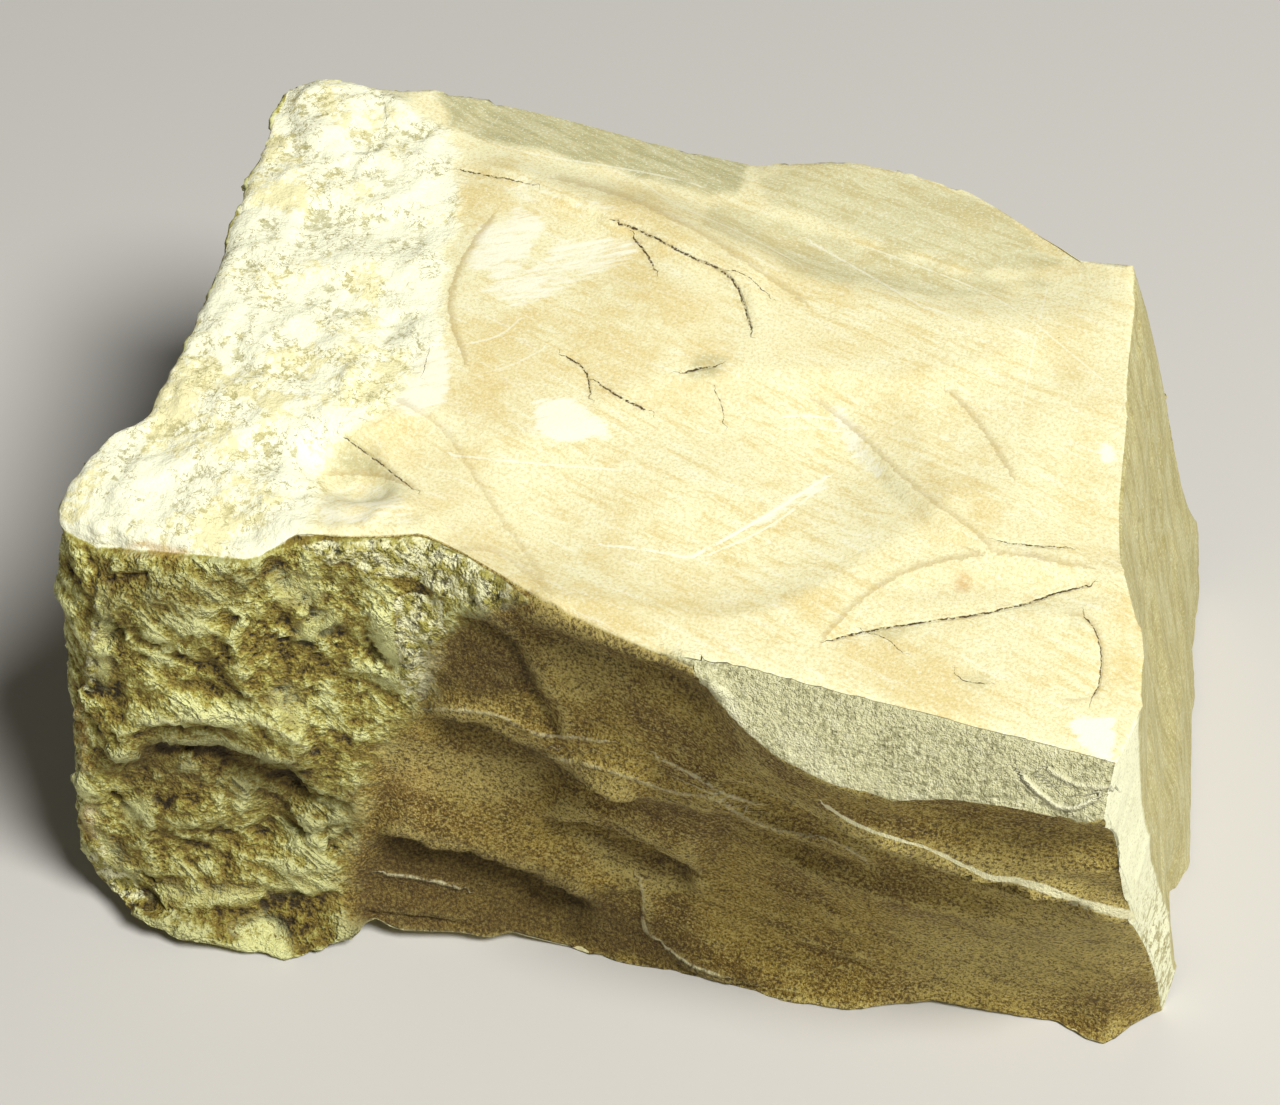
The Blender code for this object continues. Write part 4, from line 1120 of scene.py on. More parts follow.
# Pale faces and painted light in one mask
pale_and_lit = np.maximum(patches(places, PALE_AND_LIT_FACES, 0.7), patches(places, PAINTED_LIGHT_ZONES, 4.0))
patch_fields = {
    "bruises": patches(places, BRUISES, 0.9) * on_top,
    "grey_facets_and_shade": patches(places, GREY_FACETS_AND_SHADE, 0.4) * on_top,
    "tan_zones": patches(places, TAN_ZONES, 3.0) * on_top,
    "painted_shade": patches(places, SHADE_PATCHES, 1.6) * on_front,
    "rust": patches(places, RUST_SPOTS, 0.4),
    "pale_and_lit": pale_and_lit * on_front * (1 - on_top),
    "crumbly": patches(places, CRUMBLY_ZONES, 0.8) * on_front * (1 - on_top),
}
print("bruised points:", int((patch_fields["bruises"] > 0.5).sum()))

# %% [markdown]
# ## Fine relief
# A step away, crumbs, fibres and chipped arrises are what tells crust from dense stone. They are real
# geometry here, because they catch the light. Only what is finer than the grid, such as the grain of a
# fresh break, is left to the material's bump.


# %% Crumbs, fibres and chips
FIBRE_RISE = 0.42
ARRIS_WEAR = 1.3
STEEP_FIBRES = (0.62, 0.0, -0.78)
LEVEL_FIBRES = (0.98, 0.0, -0.15)


def crumbs(points, size, seed):
    """Rounded crumbs: 0 on the joints between grains and 1 on the grains."""
    offset, gap, _ = grains(shaken(points, 1.7 * size, 0.4 * size, seed + 5), size, seed)
    return rise(gap, 0.0, 0.5) * (1.15 - 0.5 * np.linalg.norm(offset, axis=1))


def fibres(points):
    """Ridges drawn out along the fibres: folded noise on squeezed points, steep in the upper part and
    level below."""
    steep = lumps(stretched(points, STEEP_FIBRES, 5.0), 2.2, 2, 91)
    level = lumps(stretched(points, LEVEL_FIBRES, 5.0), 2.0, 2, 93)
    low = rise(14.0 - points[:, Z] + 2.0 * noise(points, 9.0, 95), -3.0, 3.0)
    return (1 - low) * steep + low * level


def crust_relief(points, on_side):
    """Flaky and wrinkled on top. On the sides, hackly flakes drawn out along the fibres, with crumbs
    between."""
    patchy = rise(noise(points, 8.0, 109), -0.3, 0.4)
    above = 0.20 * flakes(points, 6.0, 101) + 0.08 * flakes(points, 2.6, 102)
    above += 0.09 * lumps(points, 2.4, 2, 103)
    above += 0.07 * patchy * (crumbs(points, 1.5, 105) - 0.7)
    drawn = stretched(points, STEEP_FIBRES, 1.8)
    beside = 0.32 * flakes(drawn, 5.0, 111) + 0.15 * flakes(drawn, 2.3, 113)
    beside += 0.20 * lumps(points, 2.6, 2, 117) + 0.20 * patchy * (crumbs(points, 1.6, 115) - 0.7)
    beside += FIBRE_RISE * fibres(points)
    return (1 - on_side) * above + on_side * beside


def stone_relief(points, quads, on_side):
    """The dense stone: faint hackle on its sides, and chips bitten out of its arrises where noise is
    high."""
    normals = outward(points, quads)
    blurred = softened(points, quads, np.ones(len(points)), 1.6)
    convex = ((points - blurred) * normals).sum(axis=1)
    bites = rise(convex, 0.10, 0.35) * rise(noise(points, 4.5, 121), 0.0, 0.35)
    bites *= 0.5 + np.abs(noise(points, 1.6, 123))
    drawn = stretched(points, (0.9, 0.0, -0.43), 2.5)
    hackle = 0.16 * rise(noise(points, 12.0, 127), -0.3, 0.4) * flakes(drawn, 3.4, 125)
    hackle += 0.05 * lumps(drawn, 1.8, 2, 126)
    return on_side * hackle - 0.45 * bites


GROOVE_DEPTH = 0.18
LIP_HEIGHT = 0.30


def near_lines(name, width):
    """A bell across the lines of a family: strength times exp(-(distance / width) squared)."""
    return line_fields[name + "_strength"] * np.exp(-((line_fields[name] / width) ** 2))


def finely_broken(points, quads):
    """All fine relief along the normals, blended at the contact, with cracks as shallow grooves."""
    normals = outward(points, quads)
    on_side = 1 - rise(top_side, -1.5, 0.5)
    in_crust = rise(crust, -0.6 - 1.4 * on_side, 1.0 + 1.4 * on_side)
    relief = in_crust * crust_relief(points, on_side) + (1 - in_crust) * stone_relief(points, quads, on_side)
    grooves = -GROOVE_DEPTH * near_lines("cracks", 0.5)
    lips = LIP_HEIGHT * near_lines("ridges", 0.6)
    return points + (relief + grooves + lips)[:, None] * normals


# The crust's upper arris is crumbled, so its cells are evened out first: fully up to the first distance
# from it in mm, and not at all past the second
WORN_FULLY = 0.8
WORN_UP_TO = 2.6
worn = rise(crust, 0.0, 1.0) * rise(-np.abs(top_side), -WORN_UP_TO, -WORN_FULLY)
broad_points = softened(points, quads, worn, ARRIS_WEAR)
points = resting(finely_broken(broad_points, quads))
moved = points - broad_points
print("finest relief: from", round(float(moved.min()), 2), "to", round(float(moved.max()), 2), "mm")

# %% [markdown]
# ## Bumps and hollows
# Hollows are painted darker as shade, and edges are rubbed pale. How far a point stands out from a
# softened copy of the surface tells the two apart, at a small and at a broad scale. A light bake could
# give something like it, but this needs no render and stays with the mesh.


# %% How far each point stands out
def standing_out(points, quads, radius):
    """The height of each point over the surface softened to that radius, along the normal, in mm."""
    blurred = softened(points, quads, np.ones(len(points)), radius)
    return ((points - blurred) * outward(points, quads)).sum(axis=1)


small_bumps = standing_out(points, quads, 1.3)
broad_bumps = standing_out(points, quads, 4.0)
print("small bumps: spread", round(float(small_bumps.std()), 3), "mm")
print("broad bumps: spread", round(float(broad_bumps.std()), 3), "mm")

# %% [markdown]
# ## The mesh
# The points go into a mesh in metres, with their measurements beside them as attributes that the material
# reads. The object itself stays at the origin, unturned, because the pattern is read in the object's own
# coordinates.

# %% What the material reads
# Depths are cut off at a few mm, because only their change near a border is read
SIDE_REACH = 6.0
CRUST_REACH = 8.0
BREAK_REACH = 3.0
# The chip's plane also grazes the crust's rim, further left than this, where no chip is seen
CHIP_START = -5.0
in_chip = points[:, X] > CHIP_START
FIELDS = {
    "top_side": np.clip(top_side, -SIDE_REACH, SIDE_REACH),
    "front_side": np.clip(front_side, -SIDE_REACH, SIDE_REACH),
    "right_side": np.clip(right_side, -SIDE_REACH, SIDE_REACH),
    "crust": np.clip(crust, -CRUST_REACH, CRUST_REACH),
    "chip": np.where(in_chip, np.clip(depths["chip"], -BREAK_REACH, BREAK_REACH), -BREAK_REACH),
    "strip": np.clip(depths["strip"], -BREAK_REACH, BREAK_REACH),
    "hollow": np.clip(depths["hollow"], -BREAK_REACH, BREAK_REACH),
    **line_fields,
    **patch_fields,
    "small_bumps": np.clip(small_bumps, -1.0, 1.0),
    "broad_bumps": np.clip(broad_bumps, -2.0, 2.0),
}
print("measurements on the mesh:", len(FIELDS))

# %% Make the stone
SHARP_ANGLE = math.radians(75.0)


def make_stone(points, quads, fields):
    """The mesh in metres, shaded smooth but for creases over the sharp angle, one attribute per field."""
    mesh = bpy.data.meshes.new("magnesite_stone")
    mesh.from_pydata(((points - BLOCK_MIDDLE) * MM).tolist(), [], quads.tolist())
    for name, values in fields.items():
        attribute = mesh.attributes.new(name, "FLOAT", "POINT")
        attribute.data.foreach_set("value", values.astype(np.float32))
    mesh.shade_smooth()
    mesh.set_sharp_from_angle(angle=SHARP_ANGLE)
    mesh.update()
    stone = bpy.data.objects.new("magnesite_stone", mesh)
    bpy.context.scene.collection.objects.link(stone)
    return stone


stone = make_stone(points, quads, FIELDS)
low, high = (np.array(stone.bound_box).min(axis=0), np.array(stone.bound_box).max(axis=0))
print("stone from", np.round(low, 4), "to", np.round(high, 4))

# %% [markdown]
# ## Writing shader maths as Python
# A material is a graph of nodes. Wired by hand, a sum of three masks is a screenful of links. With a
# small class that wraps a socket and overloads the operators, the same sum is one readable line. Every
# other node comes from one method that takes its type, its settings and its sockets.


# %% Sockets with operators
class Value:
    """A number on a wire. Arithmetic on it adds Math nodes."""

    def __init__(self, graph, socket):
        self.graph = graph
        self.socket = socket

    def math(self, operation, first, second):
        return self.graph.node("ShaderNodeMath", {"operation": operation}, {0: first, 1: second})

    def __add__(self, other):
        return self.math("ADD", self, other)

    def __radd__(self, other):
        return self.math("ADD", other, self)

    def __sub__(self, other):
        return self.math("SUBTRACT", self, other)

    def __rsub__(self, other):
        return self.math("SUBTRACT", other, self)

    def __mul__(self, other):
        return self.math("MULTIPLY", self, other)

    def __rmul__(self, other):
        return self.math("MULTIPLY", other, self)

    def __neg__(self):
        return self.math("MULTIPLY", self, -1.0)

    def size(self):
        return self.graph.node("ShaderNodeMath", {"operation": "ABSOLUTE"}, {0: self})

    def most(self, other):
        return self.math("MAXIMUM", self, other)


class Graph:
    """A material's nodes, and the object's own coordinates in mm."""

    def __init__(self, name):
        self.material = bpy.data.materials.new(name)
        self.material.use_nodes = True
        self.tree = self.material.node_tree
        self.tree.nodes.clear()
        self.count = 0
        self.noises = {}
        metres = self.node("ShaderNodeTexCoord", {}, {}, "Object")
        self.place = self.node("ShaderNodeVectorMath", {"operation": "SCALE"}, {0: metres, "Scale": 1 / MM})

    def node(self, kind, settings, sockets, output=0):
        """A node of that kind: its settings first, then numbers or links into its sockets. Returns one
        output."""
        made = self.tree.nodes.new(kind)
        made.location = (220 * (self.count % 24), -260 * (self.count // 24))
        self.count += 1
        for name, value in settings.items():
            setattr(made, name, value)
        for name, value in sockets.items():
            if isinstance(value, Value):
                self.tree.links.new(value.socket, made.inputs[name])
            else:
                made.inputs[name].default_value = value
        return Value(self, made.outputs[output]) if made.outputs else None

    def field(self, name):
        """One of the mesh's measurements."""
        return self.node("ShaderNodeAttribute", {"attribute_name": name}, {}, "Fac")

    def step(self, value, low, high):
        """0 below low, 1 above high, and smooth between. low above high turns it round."""
        settings = {"interpolation_type": "SMOOTHSTEP"}
        sockets = {"Value": value, "From Min": low, "From Max": high}
        return self.node("ShaderNodeMapRange", settings, sockets)

    def turned(self, angles, stretch):
        """The coordinates turned by angles in degrees, then squeezed by the stretch along each axis."""
        rotation = [math.radians(angle) for angle in angles]
        turned = self.node("ShaderNodeMapping", {}, {"Vector": self.place, "Rotation": rotation})
        scale = [1 / times for times in stretch]
        return self.node("ShaderNodeMapping", {}, {"Vector": turned, "Scale": scale})

    def grain(self, size, detail, rough, place=None):
        """Noise from 0 to 1, around 0.5, with features of about that size in mm."""
        place = place or self.place
        sockets = {"Vector": place, "Scale": 1 / size, "Detail": detail, "Roughness": rough}
        return self.node("ShaderNodeTexNoise", {}, sockets)

    def shared(self, kind):
        """One of the noises that several colours share. It is made once, which keeps the render quick."""
        if kind not in self.noises:
            self.noises[kind] = self.grain(*kind)
        return self.noises[kind]

    def ridges(self, size, place):
        """Ridged noise from 0 to about 1: sharp ridges between rounded hollows of about that size in mm."""
        settings = {"noise_type": "RIDGED_MULTIFRACTAL", "normalize": True}
        sockets = {
            "Vector": place,
            "Scale": 1 / size,
            "Detail": 3.0,
            "Roughness": 0.6,
            "Lacunarity": 2.1,
            "Offset": 0.9,
            "Gain": 1.5,
        }
        return self.node("ShaderNodeTexNoise", settings, sockets)

    def height(self):
        """The height above the floor, in mm."""
        return self.node("ShaderNodeSeparateXYZ", {}, {"Vector": self.place}, "Z")

    def along(self):
        """The place along the block, in mm, from the crust at the left to the dense end."""
        return self.node("ShaderNodeSeparateXYZ", {}, {"Vector": self.place}, "X")

    def mixed(self, share, first, second):
        """The first colour where share is 0, the second where it is 1."""
        settings = {"data_type": "RGBA"}
        return self.node("ShaderNodeMix", settings, {0: share, 6: first, 7: second}, 2)

    def surface(self, sockets):
        """A Principled shader with these sockets, wired to the output."""
        shader = self.node("ShaderNodeBsdfPrincipled", {}, sockets)
        self.node("ShaderNodeOutputMaterial", {}, {"Surface": shader})


def colour(red, green, blue):
    """A colour read as 0 to 255 on a screen, as the linear light that a shader takes: about the 2.4th
    power."""
    shares = [value / 255 for value in (red, green, blue)]
    linear = [share / 12.92 if share <= 0.04045 else ((share + 0.055) / 1.055) ** 2.4 for share in shares]
    return (*linear, 1.0)


print("cream is", [round(value, 3) for value in colour(246, 236, 198)])

# %% [markdown]
# ## Dense stone from above
# Fresh magnesite is the colour of cream, mottled with tan where iron has crept in. Close up it has a very
# fine speckle and a few dark dots. Bruises are whiter, with strokes where something was rubbed across
# them.
#
# A photograph could be laid over it, but it would show one side only. Noise at several sizes covers every
# side.

# %% The dense stone
# Noises that the faces share, from the finest: the size in mm, the detail and the roughness
FINE = (0.3, 2.0, 0.8)
CRUMB = (0.5, 2.0, 0.8)
GRAINY = (0.9, 3.0, 0.76)
LUMPY = (1.3, 3.0, 0.72)
RAGGED = (2.2, 3.0, 0.74)
BLOTCHY = (4.5, 2.0, 0.62)
PATCHY = (8.5, 2.0, 0.62)
CREAM = colour(247, 241, 192)
TAN = colour(232, 212, 144)
PEACH = colour(242, 226, 166)
WHITE = colour(255, 253, 226)
DARK_DOT = colour(120, 95, 55)
SPECK_TAN = colour(204, 178, 112)
SEAM_TAN_AND_SHADE = colour(190, 166, 104)
CRACK_BROWN = colour(72, 54, 22)
GREY_STONE_AND_SHADE = colour(182, 179, 132)


def dense_colour(g):
    """Cream mottled with tan, streaked, speckled and dotted."""
    mottle = g.grain(13.0, 3.0, 0.6)
    blotch, speck = g.shared(BLOTCHY), g.shared(FINE)
    streak = g.grain(0.9, 4.0, 0.75, place=g.turned((0, 0, 20), (7.0, 1.0, 1.0)))
    zones = g.field("tan_zones") * g.step(blotch, 0.30, 0.60)
    tan = g.step(mottle + 0.35 * (blotch - 0.5), 0.50, 0.72).most(zones)
    body = g.mixed(0.8 * tan, CREAM, TAN)
    body = g.mixed(0.35 * g.step(blotch, 0.5, 0.7), body, PEACH)
    body = g.mixed(0.70 * g.step(streak, 0.50, 0.62) * g.step(g.shared(PATCHY), 0.36, 0.54), body, TAN)
    body = g.mixed(0.45 * g.step(streak, 0.44, 0.34), body, WHITE)
    # Grey facets, and painted shade on the top's back facet
    body = g.mixed(g.field("grey_facets_and_shade") * (0.65 + 0.35 * g.step(streak, 0.4, 0.6)), body, GREY_STONE_AND_SHADE)
    body = g.mixed(0.38 * g.step(speck, 0.48, 0.64), body, SPECK_TAN)
    body = g.mixed(0.5 * g.step(speck, 0.46, 0.32), body, WHITE)
    dot = g.step(g.shared(LUMPY), 0.74, 0.78) * g.step(blotch, 0.5, 0.6)
    return g.mixed(0.7 * dot, body, DARK_DOT)


def rubbed(g, body):
    """White bruises, scratches and strokes, broken up by noise that is drawn out along the strokes."""
    streak = g.grain(0.6, 3.0, 0.75, place=g.turned((0, 0, -32), (6.0, 1.0, 1.0)))
    bruise = g.field("bruises")
    shown = g.step(bruise + 1.6 * (streak - 0.5), 0.30, 0.80) * g.step(bruise, 0.02, 0.4)
    body = g.mixed(0.92 * shown, body, WHITE)
    wide = 0.12 + 0.2 * g.shared(RAGGED)
    patchy = g.step(g.shared(GRAINY), 0.3, 0.5)
    for name in ("scratches", "strokes"):
        strength = g.field(name + "_strength")
        line = g.step(g.field(name).size(), wide * strength, 0.4 * wide * strength)
        body = g.mixed(line * patchy * strength, body, WHITE)
    return body


def cracked(g, body):
    """Soft tan seams, painted on one side of each line and partly as shade below small steps, and dark
    hairlines: where the distance to a crack is under about a tenth of a mm, wavering and broken by noise."""
    wobble = 0.5 * (g.shared(GRAINY) - 0.5)
    # A tan band on one side of each seam line, partly painted shade below a small step
    seam_and_shade = g.step(g.field("seams_and_step_shade") + 2 * wobble, -0.9, 0.0) * g.step(g.field("seams_and_step_shade") + 2 * wobble, 0.15, 0.0)
    body = g.mixed(0.75 * seam_and_shade * g.field("seams_and_step_shade_strength"), body, SEAM_TAN_AND_SHADE)
    broken = g.step(g.shared(CRUMB), 0.38, 0.52)
    dusty = g.step(g.shared(LUMPY), 0.48, 0.62)
    for name in ("cracks", "branches"):
        strength = g.field(name + "_strength")
        distance = (g.field(name) + wobble).size()
        body = g.mixed(0.5 * g.step(distance, 0.8, 0.05) * dusty * strength, body, SEAM_TAN_AND_SHADE)
        line = g.step(distance, 0.18 * strength, 0.05 * strength) * g.step(strength, 0.05, 0.3)
        body = g.mixed(line * (0.2 + 0.8 * broken), body, CRACK_BROWN)
    return body


# %% [markdown]
# ## Crust
# The crust is loose grains of the same mineral with clay and iron between them. On top it is nearly
# white with olive grey in the joints. On its sides it is olive brown and grey green, with pale fibres;
# the sides are coloured much darker than the top partly as painted shade, and their low places are
# painted dark as shade.

# %% The crust
CRUST_WHITE = colour(255, 254, 220)
CRUST_YELLOW = colour(238, 226, 156)
CRUST_OLIVE = colour(166, 158, 96)
# The side colours are darker than the crust's top partly as painted shade
SIDE_OLIVE = colour(142, 122, 46)
SIDE_GREEN = colour(182, 173, 84)
JOINT_DARK_AND_SHADE = colour(50, 38, 10)
SIDE_PALE = colour(232, 232, 160)
SIDE_SHADE = colour(88, 68, 24)
CRUMB_CREAM = colour(246, 243, 190)


def crust_top_colour(g, bump):
    """White grains, yellow patches, olive stains in the hollows, and thin olive wrinkles."""
    grainy = g.shared(GRAINY)
    yellow = g.step(g.shared(PATCHY) + 0.7 * (grainy - 0.5), 0.54, 0.64)
    body = g.mixed(0.65 * yellow, CRUST_WHITE, CRUST_YELLOW)
    joints = g.step(grainy - 0.35 * bump, 0.53, 0.64) * g.step(g.shared(BLOTCHY), 0.42, 0.58)
    body = g.mixed(0.6 * joints, body, CRUST_OLIVE)
    near = g.step((g.shared(RAGGED) - 0.5).size(), 0.018, 0.003)
    return g.mixed(0.75 * near * g.step(g.shared(BLOTCHY), 0.42, 0.54), body, CRUST_OLIVE)


def hackles(g):
    """The relief of the broken crust, finer than the mesh, from 0 to about 1: plain noise with a share of
    ridged noise, drawn out along the steep fibres. It drives the bump and the colour, so that what is low
    is painted dark, as shade."""
    fibres = g.ridges(1.7, place=g.turned((0, -48, 0), (5.0, 1.0, 1.0)))
    share = 0.08 + 0.34 * g.step(g.shared(PATCHY), 0.46, 0.60)
    return share * fibres + (1 - share) * (2.0 * g.shared(RAGGED) - 0.5)


def crumb_colour(g):
    """Cream and grey-white crumbs of a millimetre or so, with dark joints between them."""
    body = g.mixed(g.step(g.shared(LUMPY), 0.42, 0.60), CRUMB_CREAM, SIDE_GREEN)
    return g.mixed(0.8 * g.step(g.shared(GRAINY), 0.54, 0.64), body, JOINT_DARK_AND_SHADE)


def crust_side_colour_and_shade(g, bump, hackle):
    """Olive brown and grey green in patches, darker than the top partly as painted shade, dark joints and
    painted shade in the low places, pale ridges, painted shade under the ledges, and smooth pale faces and
    painted light.
    """
    fine = g.shared(CRUMB)
    # The tone follows the height, so low places are painted dark as shade
    tone = 0.8 * hackle + 0.1 + 0.45 * bump + 0.8 * (g.shared(PATCHY) - 0.5) + 0.9 * (fine - 0.5)
    body = g.mixed(g.step(tone, 0.10, 0.36), JOINT_DARK_AND_SHADE, SIDE_OLIVE)
    body = g.mixed(g.step(tone, 0.38, 0.60), body, SIDE_GREEN)
    body = g.mixed(g.step(tone, 0.56, 0.86), body, SIDE_PALE)
    # Painted shade under the crust's ledges
    body = g.mixed(0.65 * g.field("painted_shade"), body, SIDE_SHADE)
    return g.mixed(0.9 * g.field("pale_and_lit") * g.step(fine, 0.66, 0.5), body, SIDE_PALE)


# %% [markdown]
# ## The front, the chip and the right end
# The front is an older break, brown and grainy. Its brown is mostly painted shade, with a brown stain of
# its own: it is coloured darker and browner than the top's cream, and dark patches of painted shade lie
# under its ledges. The chip along its upper edge is the freshest: grey green and granular, with a paler
# left rim that is partly painted light. Below the chip a hollow, painted in the front's brown and shade,
# is capped by a thin cream rim, painted partly as a highlight. The strip down the right corner is pale
# and nearly smooth, and the right end is grey cream with steep streaks.

# %% The other faces
# Painted shade: the front's browns are darker than the top's cream mostly to stand in for shade, with a brown
# stain of their own
FRONT_BROWN_AND_SHADE = colour(168, 142, 58)
FRONT_DARK_AND_SHADE = colour(134, 106, 36)
FRONT_PALE = colour(210, 192, 112)
FRONT_STAIN_AND_SHADE = colour(80, 62, 20)
RUST = colour(206, 150, 70)
FRONT_SPECK = colour(66, 48, 16)
CHIP_GREY = colour(216, 212, 164)
CHIP_DARK = colour(164, 160, 116)
CHIP_PALE = colour(240, 237, 196)
# Cream of the lips, used partly as a painted highlight
RIM_CREAM_AND_HIGHLIGHT = colour(240, 234, 186)
STRIP_CREAM = colour(246, 246, 206)
STRIP_GREY = colour(190, 184, 134)
RIGHT_CREAM = colour(196, 186, 126)
RIGHT_OLIVE = colour(158, 146, 86)


def front_colour_and_shade(g, bump):
    """Olive brown in patches, mostly painted shade with a brown stain of its own, paler where it stands out
    and in pale faces and painted light, with dark streaks, painted shade under the ledges and a fine grain
    of dark and light specks.
    """
    fine = g.shared(FINE)
    streak = g.grain(1.4, 4.0, 0.75, place=g.turned((0, -20, 0), (3.5, 1.0, 1.0)))
    pale_and_lit = (0.8 * g.step(0.7 * bump + 0.7 * (g.shared(RAGGED) - 0.5), 0.04, 0.34)).most(g.field("pale_and_lit"))
    body = g.mixed(g.step(g.shared(PATCHY), 0.4, 0.62), FRONT_BROWN_AND_SHADE, FRONT_DARK_AND_SHADE)
    body = g.mixed(0.8 * pale_and_lit, body, FRONT_PALE)
    body = g.mixed(0.45 * g.step(streak, 0.47, 0.34), body, FRONT_PALE)
    body = g.mixed(0.55 * g.step(streak, 0.52, 0.66), body, FRONT_STAIN_AND_SHADE)
    # Painted shade under the front's ledges; the same dark colour also draws the dark streaks above
    body = g.mixed(0.6 * g.field("painted_shade"), body, FRONT_STAIN_AND_SHADE)
    body = g.mixed(0.75 * g.step(fine, 0.49, 0.36) * (1 - 0.6 * g.field("painted_shade")), body, FRONT_PALE)
    return g.mixed(0.80 * g.step(fine, 0.50, 0.61), body, FRONT_SPECK)


def chip_colour(g):
    """Grey green, granular, pale along its small curved cracks, and along its upper left rim, where the
    pale is partly painted light.
    """
    dark = g.step(g.shared(CRUMB) + 0.4 * (g.shared(BLOTCHY) - 0.5), 0.46, 0.66)
    body = g.mixed(dark, CHIP_GREY, CHIP_DARK)
    body = g.mixed(0.6 * g.step(g.shared(GRAINY), 0.52, 0.66), body, CHIP_PALE)
    curve = g.step(g.field("curves").size(), 0.34, 0.12) * g.field("curves_strength")
    return g.mixed(curve.most(g.field("pale_and_lit")), body, CHIP_PALE)


def strip_colour(g):
    """Pale cream, with greyer crevices towards its lower end."""
    low = g.step(g.height(), 36.0, 16.0)
    crevice = g.step(g.shared(LUMPY) + 0.09 * low, 0.60, 0.66)
    body = g.mixed(crevice * (0.3 + 0.7 * low), STRIP_CREAM, STRIP_GREY)
    body = g.mixed(0.8 * low * g.step(g.shared(GRAINY), 0.54, 0.62), body, SIDE_OLIVE)
    return g.mixed(0.5 * g.step(g.shared(FINE), 0.50, 0.66), body, STRIP_GREY)


def right_colour(g):
    """Grey cream with faint steep streaks and a fine speckle."""
    streak = g.grain(1.3, 3.0, 0.65, place=g.turned((0, 12, 0), (1.0, 1.0, 7.0)))
    body = g.mixed(0.6 * g.step(streak, 0.40, 0.64), RIGHT_CREAM, RIGHT_OLIVE)
    body = g.mixed(0.35 * g.step(g.shared(BLOTCHY), 0.48, 0.62), body, CHIP_GREY)
    body = g.mixed(0.4 * g.step(g.shared(FINE), 0.47, 0.32), body, STRIP_CREAM)
    return g.mixed(0.4 * g.step(g.shared(FINE), 0.49, 0.66), body, SIDE_OLIVE)


# %% [markdown]
# ## One material from all of them
# The face a point is on, the crust and the facets are signed distances, so a mask is a narrow step across
# 0. Noise added first makes a border ragged where the stone is crumbly, and leaves it clean where it is a
# fresh break.

# %% The relief that is finer than the mesh
ROUGHNESS_DENSE = 0.62
ROUGHNESS_CRUST = 0.85


def relief(g, crust, broken, below, hackle):
    """The bump's height in mm: a fine grain, lumps on what is broken or crust, hackles on the crust's
    side, ridges and curved cracks standing out, and dark cracks sunk in."""
    height = (0.06 + 0.28 * (crust * below).most(broken)) * g.shared(FINE)
    height = height + (0.45 * broken + 0.30 * crust) * g.shared(LUMPY)
    height = height + 1.3 * crust * below * hackle * (1 - 0.8 * g.field("pale_and_lit"))
    height = height + 0.35 * g.step(g.field("ridges").size(), 0.5, 0.0) * g.field("ridges_strength")
    height = height + 0.40 * g.step(g.field("curves").size(), 0.5, 0.0) * g.field("curves_strength")
    return height - 0.08 * g.step(g.field("cracks").size(), 0.3, 0.05) * g.field("cracks_strength")


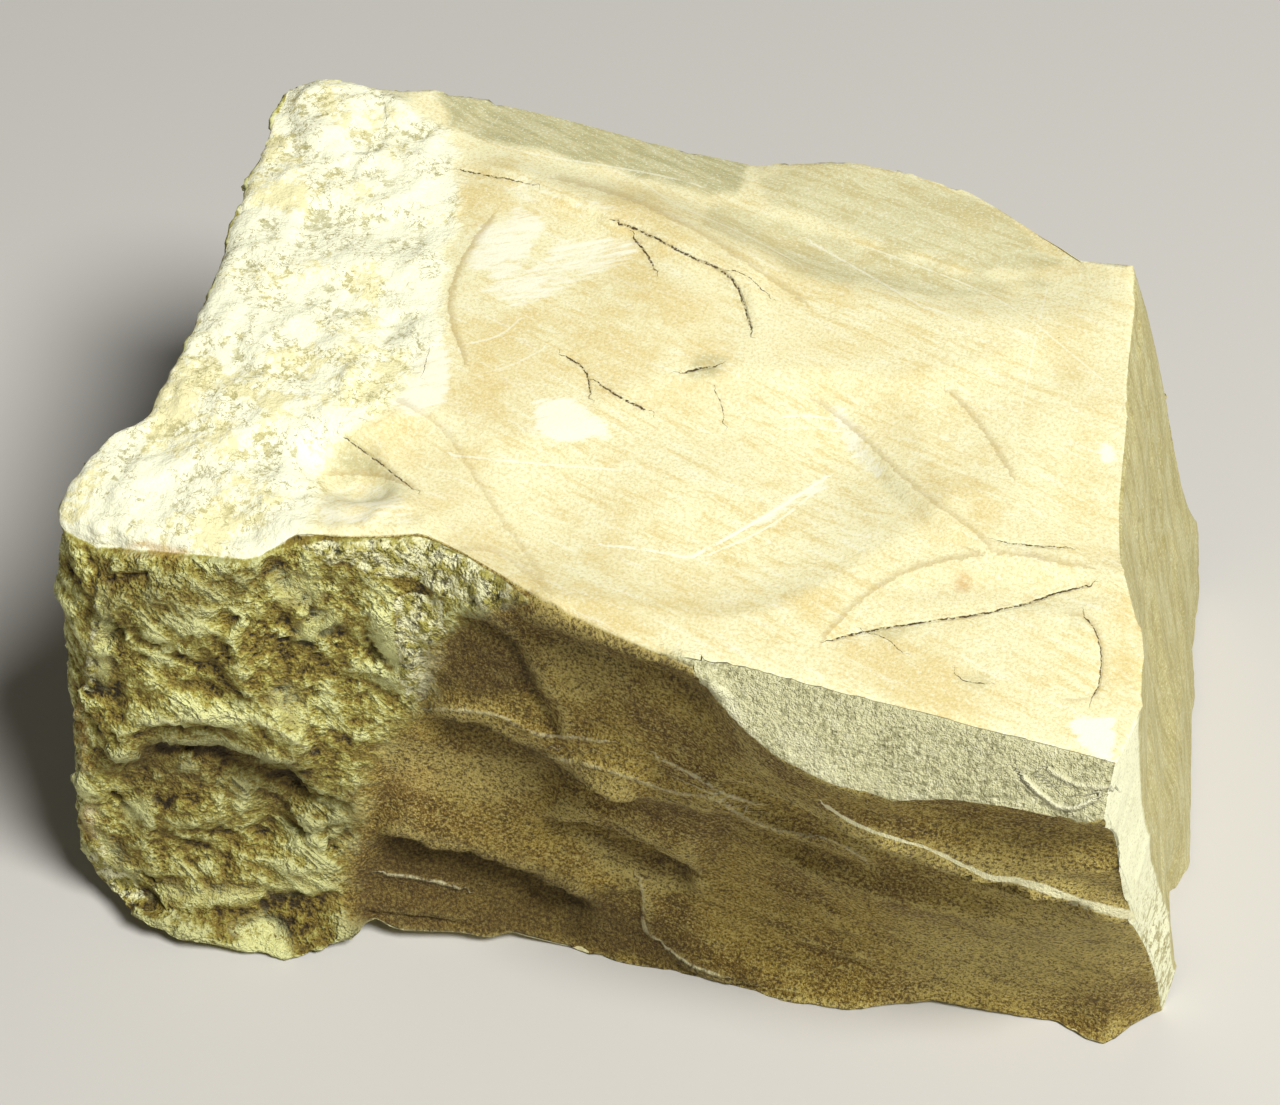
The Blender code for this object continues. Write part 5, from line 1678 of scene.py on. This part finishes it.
# %% Put the colours together
def magnesite(name):
    """The colour of each face where its mask is 1, in the order in which they lie over one another, with
    the gloss and the bump that go with them."""
    g = Graph(name)
    small, broad = g.field("small_bumps"), g.field("broad_bumps")
    bump = 1.6 * small + 0.5 * broad
    ragged = 1.6 * (g.shared(LUMPY) - 0.5)
    crumbly = 2.6 * (g.shared(RAGGED) - 0.5)
    belt = 1.0 + 1.5 * g.step(g.field("top_side"), 0.0, -1.5)
    crust = g.step(g.field("crust") + 1.5 * crumbly, -belt, belt)
    hackle = hackles(g)
    side = g.step(g.field("top_side") + (0.15 + 0.55 * crust) * ragged, 0.2, -0.2)
    front = g.step(g.field("front_side") + 0.4 * ragged, -0.25, 0.25)
    right = g.step(g.field("right_side") + 0.3 * ragged, -0.2, 0.2)

    top = cracked(g, rubbed(g, dense_colour(g)))
    right_body, front_with_shade = right_colour(g), front_colour_and_shade(g, bump)
    dense = g.mixed(side * (0.55 + 0.45 * right), top, right_body)
    # The front gets its brown, which is mostly painted shade
    dense = g.mixed(side * front, dense, front_with_shade)
    loose = g.mixed(side, crust_top_colour(g, bump), crust_side_colour_and_shade(g, bump, hackle))
    crumbly_zone = g.step(g.field("crumbly") + 0.8 * (g.shared(GRAINY) - 0.5), 0.35, 0.5)
    loose = g.mixed(crumbly_zone * side, loose, crumb_colour(g))
    body = g.mixed(crust, dense, loose)

    chip = g.step(g.field("chip"), -0.02, 0.10)
    body = g.mixed(chip * (1 - crust), body, chip_colour(g))
    # The hollow under the chip takes the front's brown, which is mostly painted shade
    hollow = g.step(g.field("hollow"), -0.02, 0.10) * front
    body = g.mixed(hollow, body, front_with_shade)
    strip = g.step(g.field("strip"), -0.02, 0.10)
    body = g.mixed(strip, body, strip_colour(g))
    # Cream lips along the ridges and the rim, painted partly as highlight where they catch the light
    ridge = g.step(g.field("ridges").size() + 0.3 * ragged, 0.26, 0.04) * g.field("ridges_strength")
    body = g.mixed(0.6 * ridge * g.step(g.shared(GRAINY), 0.36, 0.56), body, RIM_CREAM_AND_HIGHLIGHT)
    wide = 0.2 + 0.4 * g.step(g.along(), 30.0, 46.0)
    rim = g.step(g.field("rim").size() + 0.2 * ragged, wide, 0.6 * wide) * g.field("rim_strength")
    body = g.mixed(rim, body, RIM_CREAM_AND_HIGHLIGHT)
    body = g.mixed(0.7 * g.field("rust") * g.step(g.shared(GRAINY), 0.3, 0.55), body, RUST)
    # Painted shade: hollows, where the bumps are low, darkened, more on the sides
    body = g.mixed((0.15 + 0.35 * side) * g.step(bump, -0.15, -0.8), body, JOINT_DARK_AND_SHADE)

    below = g.step(g.field("top_side"), 0.2, -1.6)
    broken = (below * front).most(chip) * (1 - 0.6 * strip)
    rough = ROUGHNESS_DENSE + (ROUGHNESS_CRUST - ROUGHNESS_DENSE) * crust.most(broken)
    height = relief(g, crust, broken, below, hackle)
    normal = g.node("ShaderNodeBump", {}, {"Strength": 1.0, "Distance": MM, "Height": height}, "Normal")
    g.surface({"Base Color": body, "Roughness": rough, "Normal": normal})
    return g.material


stone.data.materials.append(magnesite("magnesite"))
print("nodes in the material:", len(stone.data.materials[0].node_tree.nodes))

# %% [markdown]
# ## Floor and light
# The block lies on a plain pale floor. One large soft light stands above it, to the right and somewhat in
# front, so the top is bright and the front and the right end are lit at a slant: ledges catch the light
# over dark hollows. A faint even light from all round keeps the shade readable.

# %% Floor, key light and surroundings
FLOOR_SIZE = 6.0
FLOOR_COLOUR = colour(206, 203, 196)
KEY_PLACE = (0.47, -0.34, 0.88)
KEY_SIZE = 0.36
KEY_WATTS = 13.2
AMBIENT_COLOUR = (1.0, 0.97, 0.92, 1.0)
AMBIENT_STRENGTH = 0.08


def make_floor():
    """A flat square at height 0, with a pale matte material."""
    half = FLOOR_SIZE / 2
    corners = [(-half, -half, 0.0), (half, -half, 0.0), (half, half, 0.0), (-half, half, 0.0)]
    mesh = bpy.data.meshes.new("floor")
    mesh.from_pydata(corners, [], [(0, 1, 2, 3)])
    floor = bpy.data.objects.new("floor", mesh)
    bpy.context.scene.collection.objects.link(floor)
    g = Graph("floor_matte")
    g.surface({"Base Color": FLOOR_COLOUR, "Roughness": 0.9})
    mesh.materials.append(g.material)
    return floor


def make_key():
    """A round soft lamp turned to the block's middle."""
    data = bpy.data.lights.new("key", "AREA")
    data.shape = "DISK"
    data.size = KEY_SIZE
    data.energy = KEY_WATTS
    key = bpy.data.objects.new("key", data)
    bpy.context.scene.collection.objects.link(key)
    key.location = KEY_PLACE
    # An area light shines along its own -Z, so its +Z points away from the block.
    key.rotation_euler = Vector(KEY_PLACE).to_track_quat("Z", "Y").to_euler()
    return key


def make_surroundings():
    """The same faint light from every direction."""
    world = bpy.data.worlds.new("surroundings")
    world.use_nodes = True
    background = world.node_tree.nodes["Background"]
    background.inputs["Color"].default_value = AMBIENT_COLOUR
    background.inputs["Strength"].default_value = AMBIENT_STRENGTH
    bpy.context.scene.world = world


make_floor()
make_key()
make_surroundings()
bpy.context.scene.view_settings.view_transform = "Standard"
print("key light at", KEY_PLACE, "m, with", KEY_WATTS, "W")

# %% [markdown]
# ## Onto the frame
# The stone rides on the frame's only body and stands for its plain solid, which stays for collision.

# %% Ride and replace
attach(stone, "root")
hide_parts("magnesite_block")
bpy.context.view_layer.update()
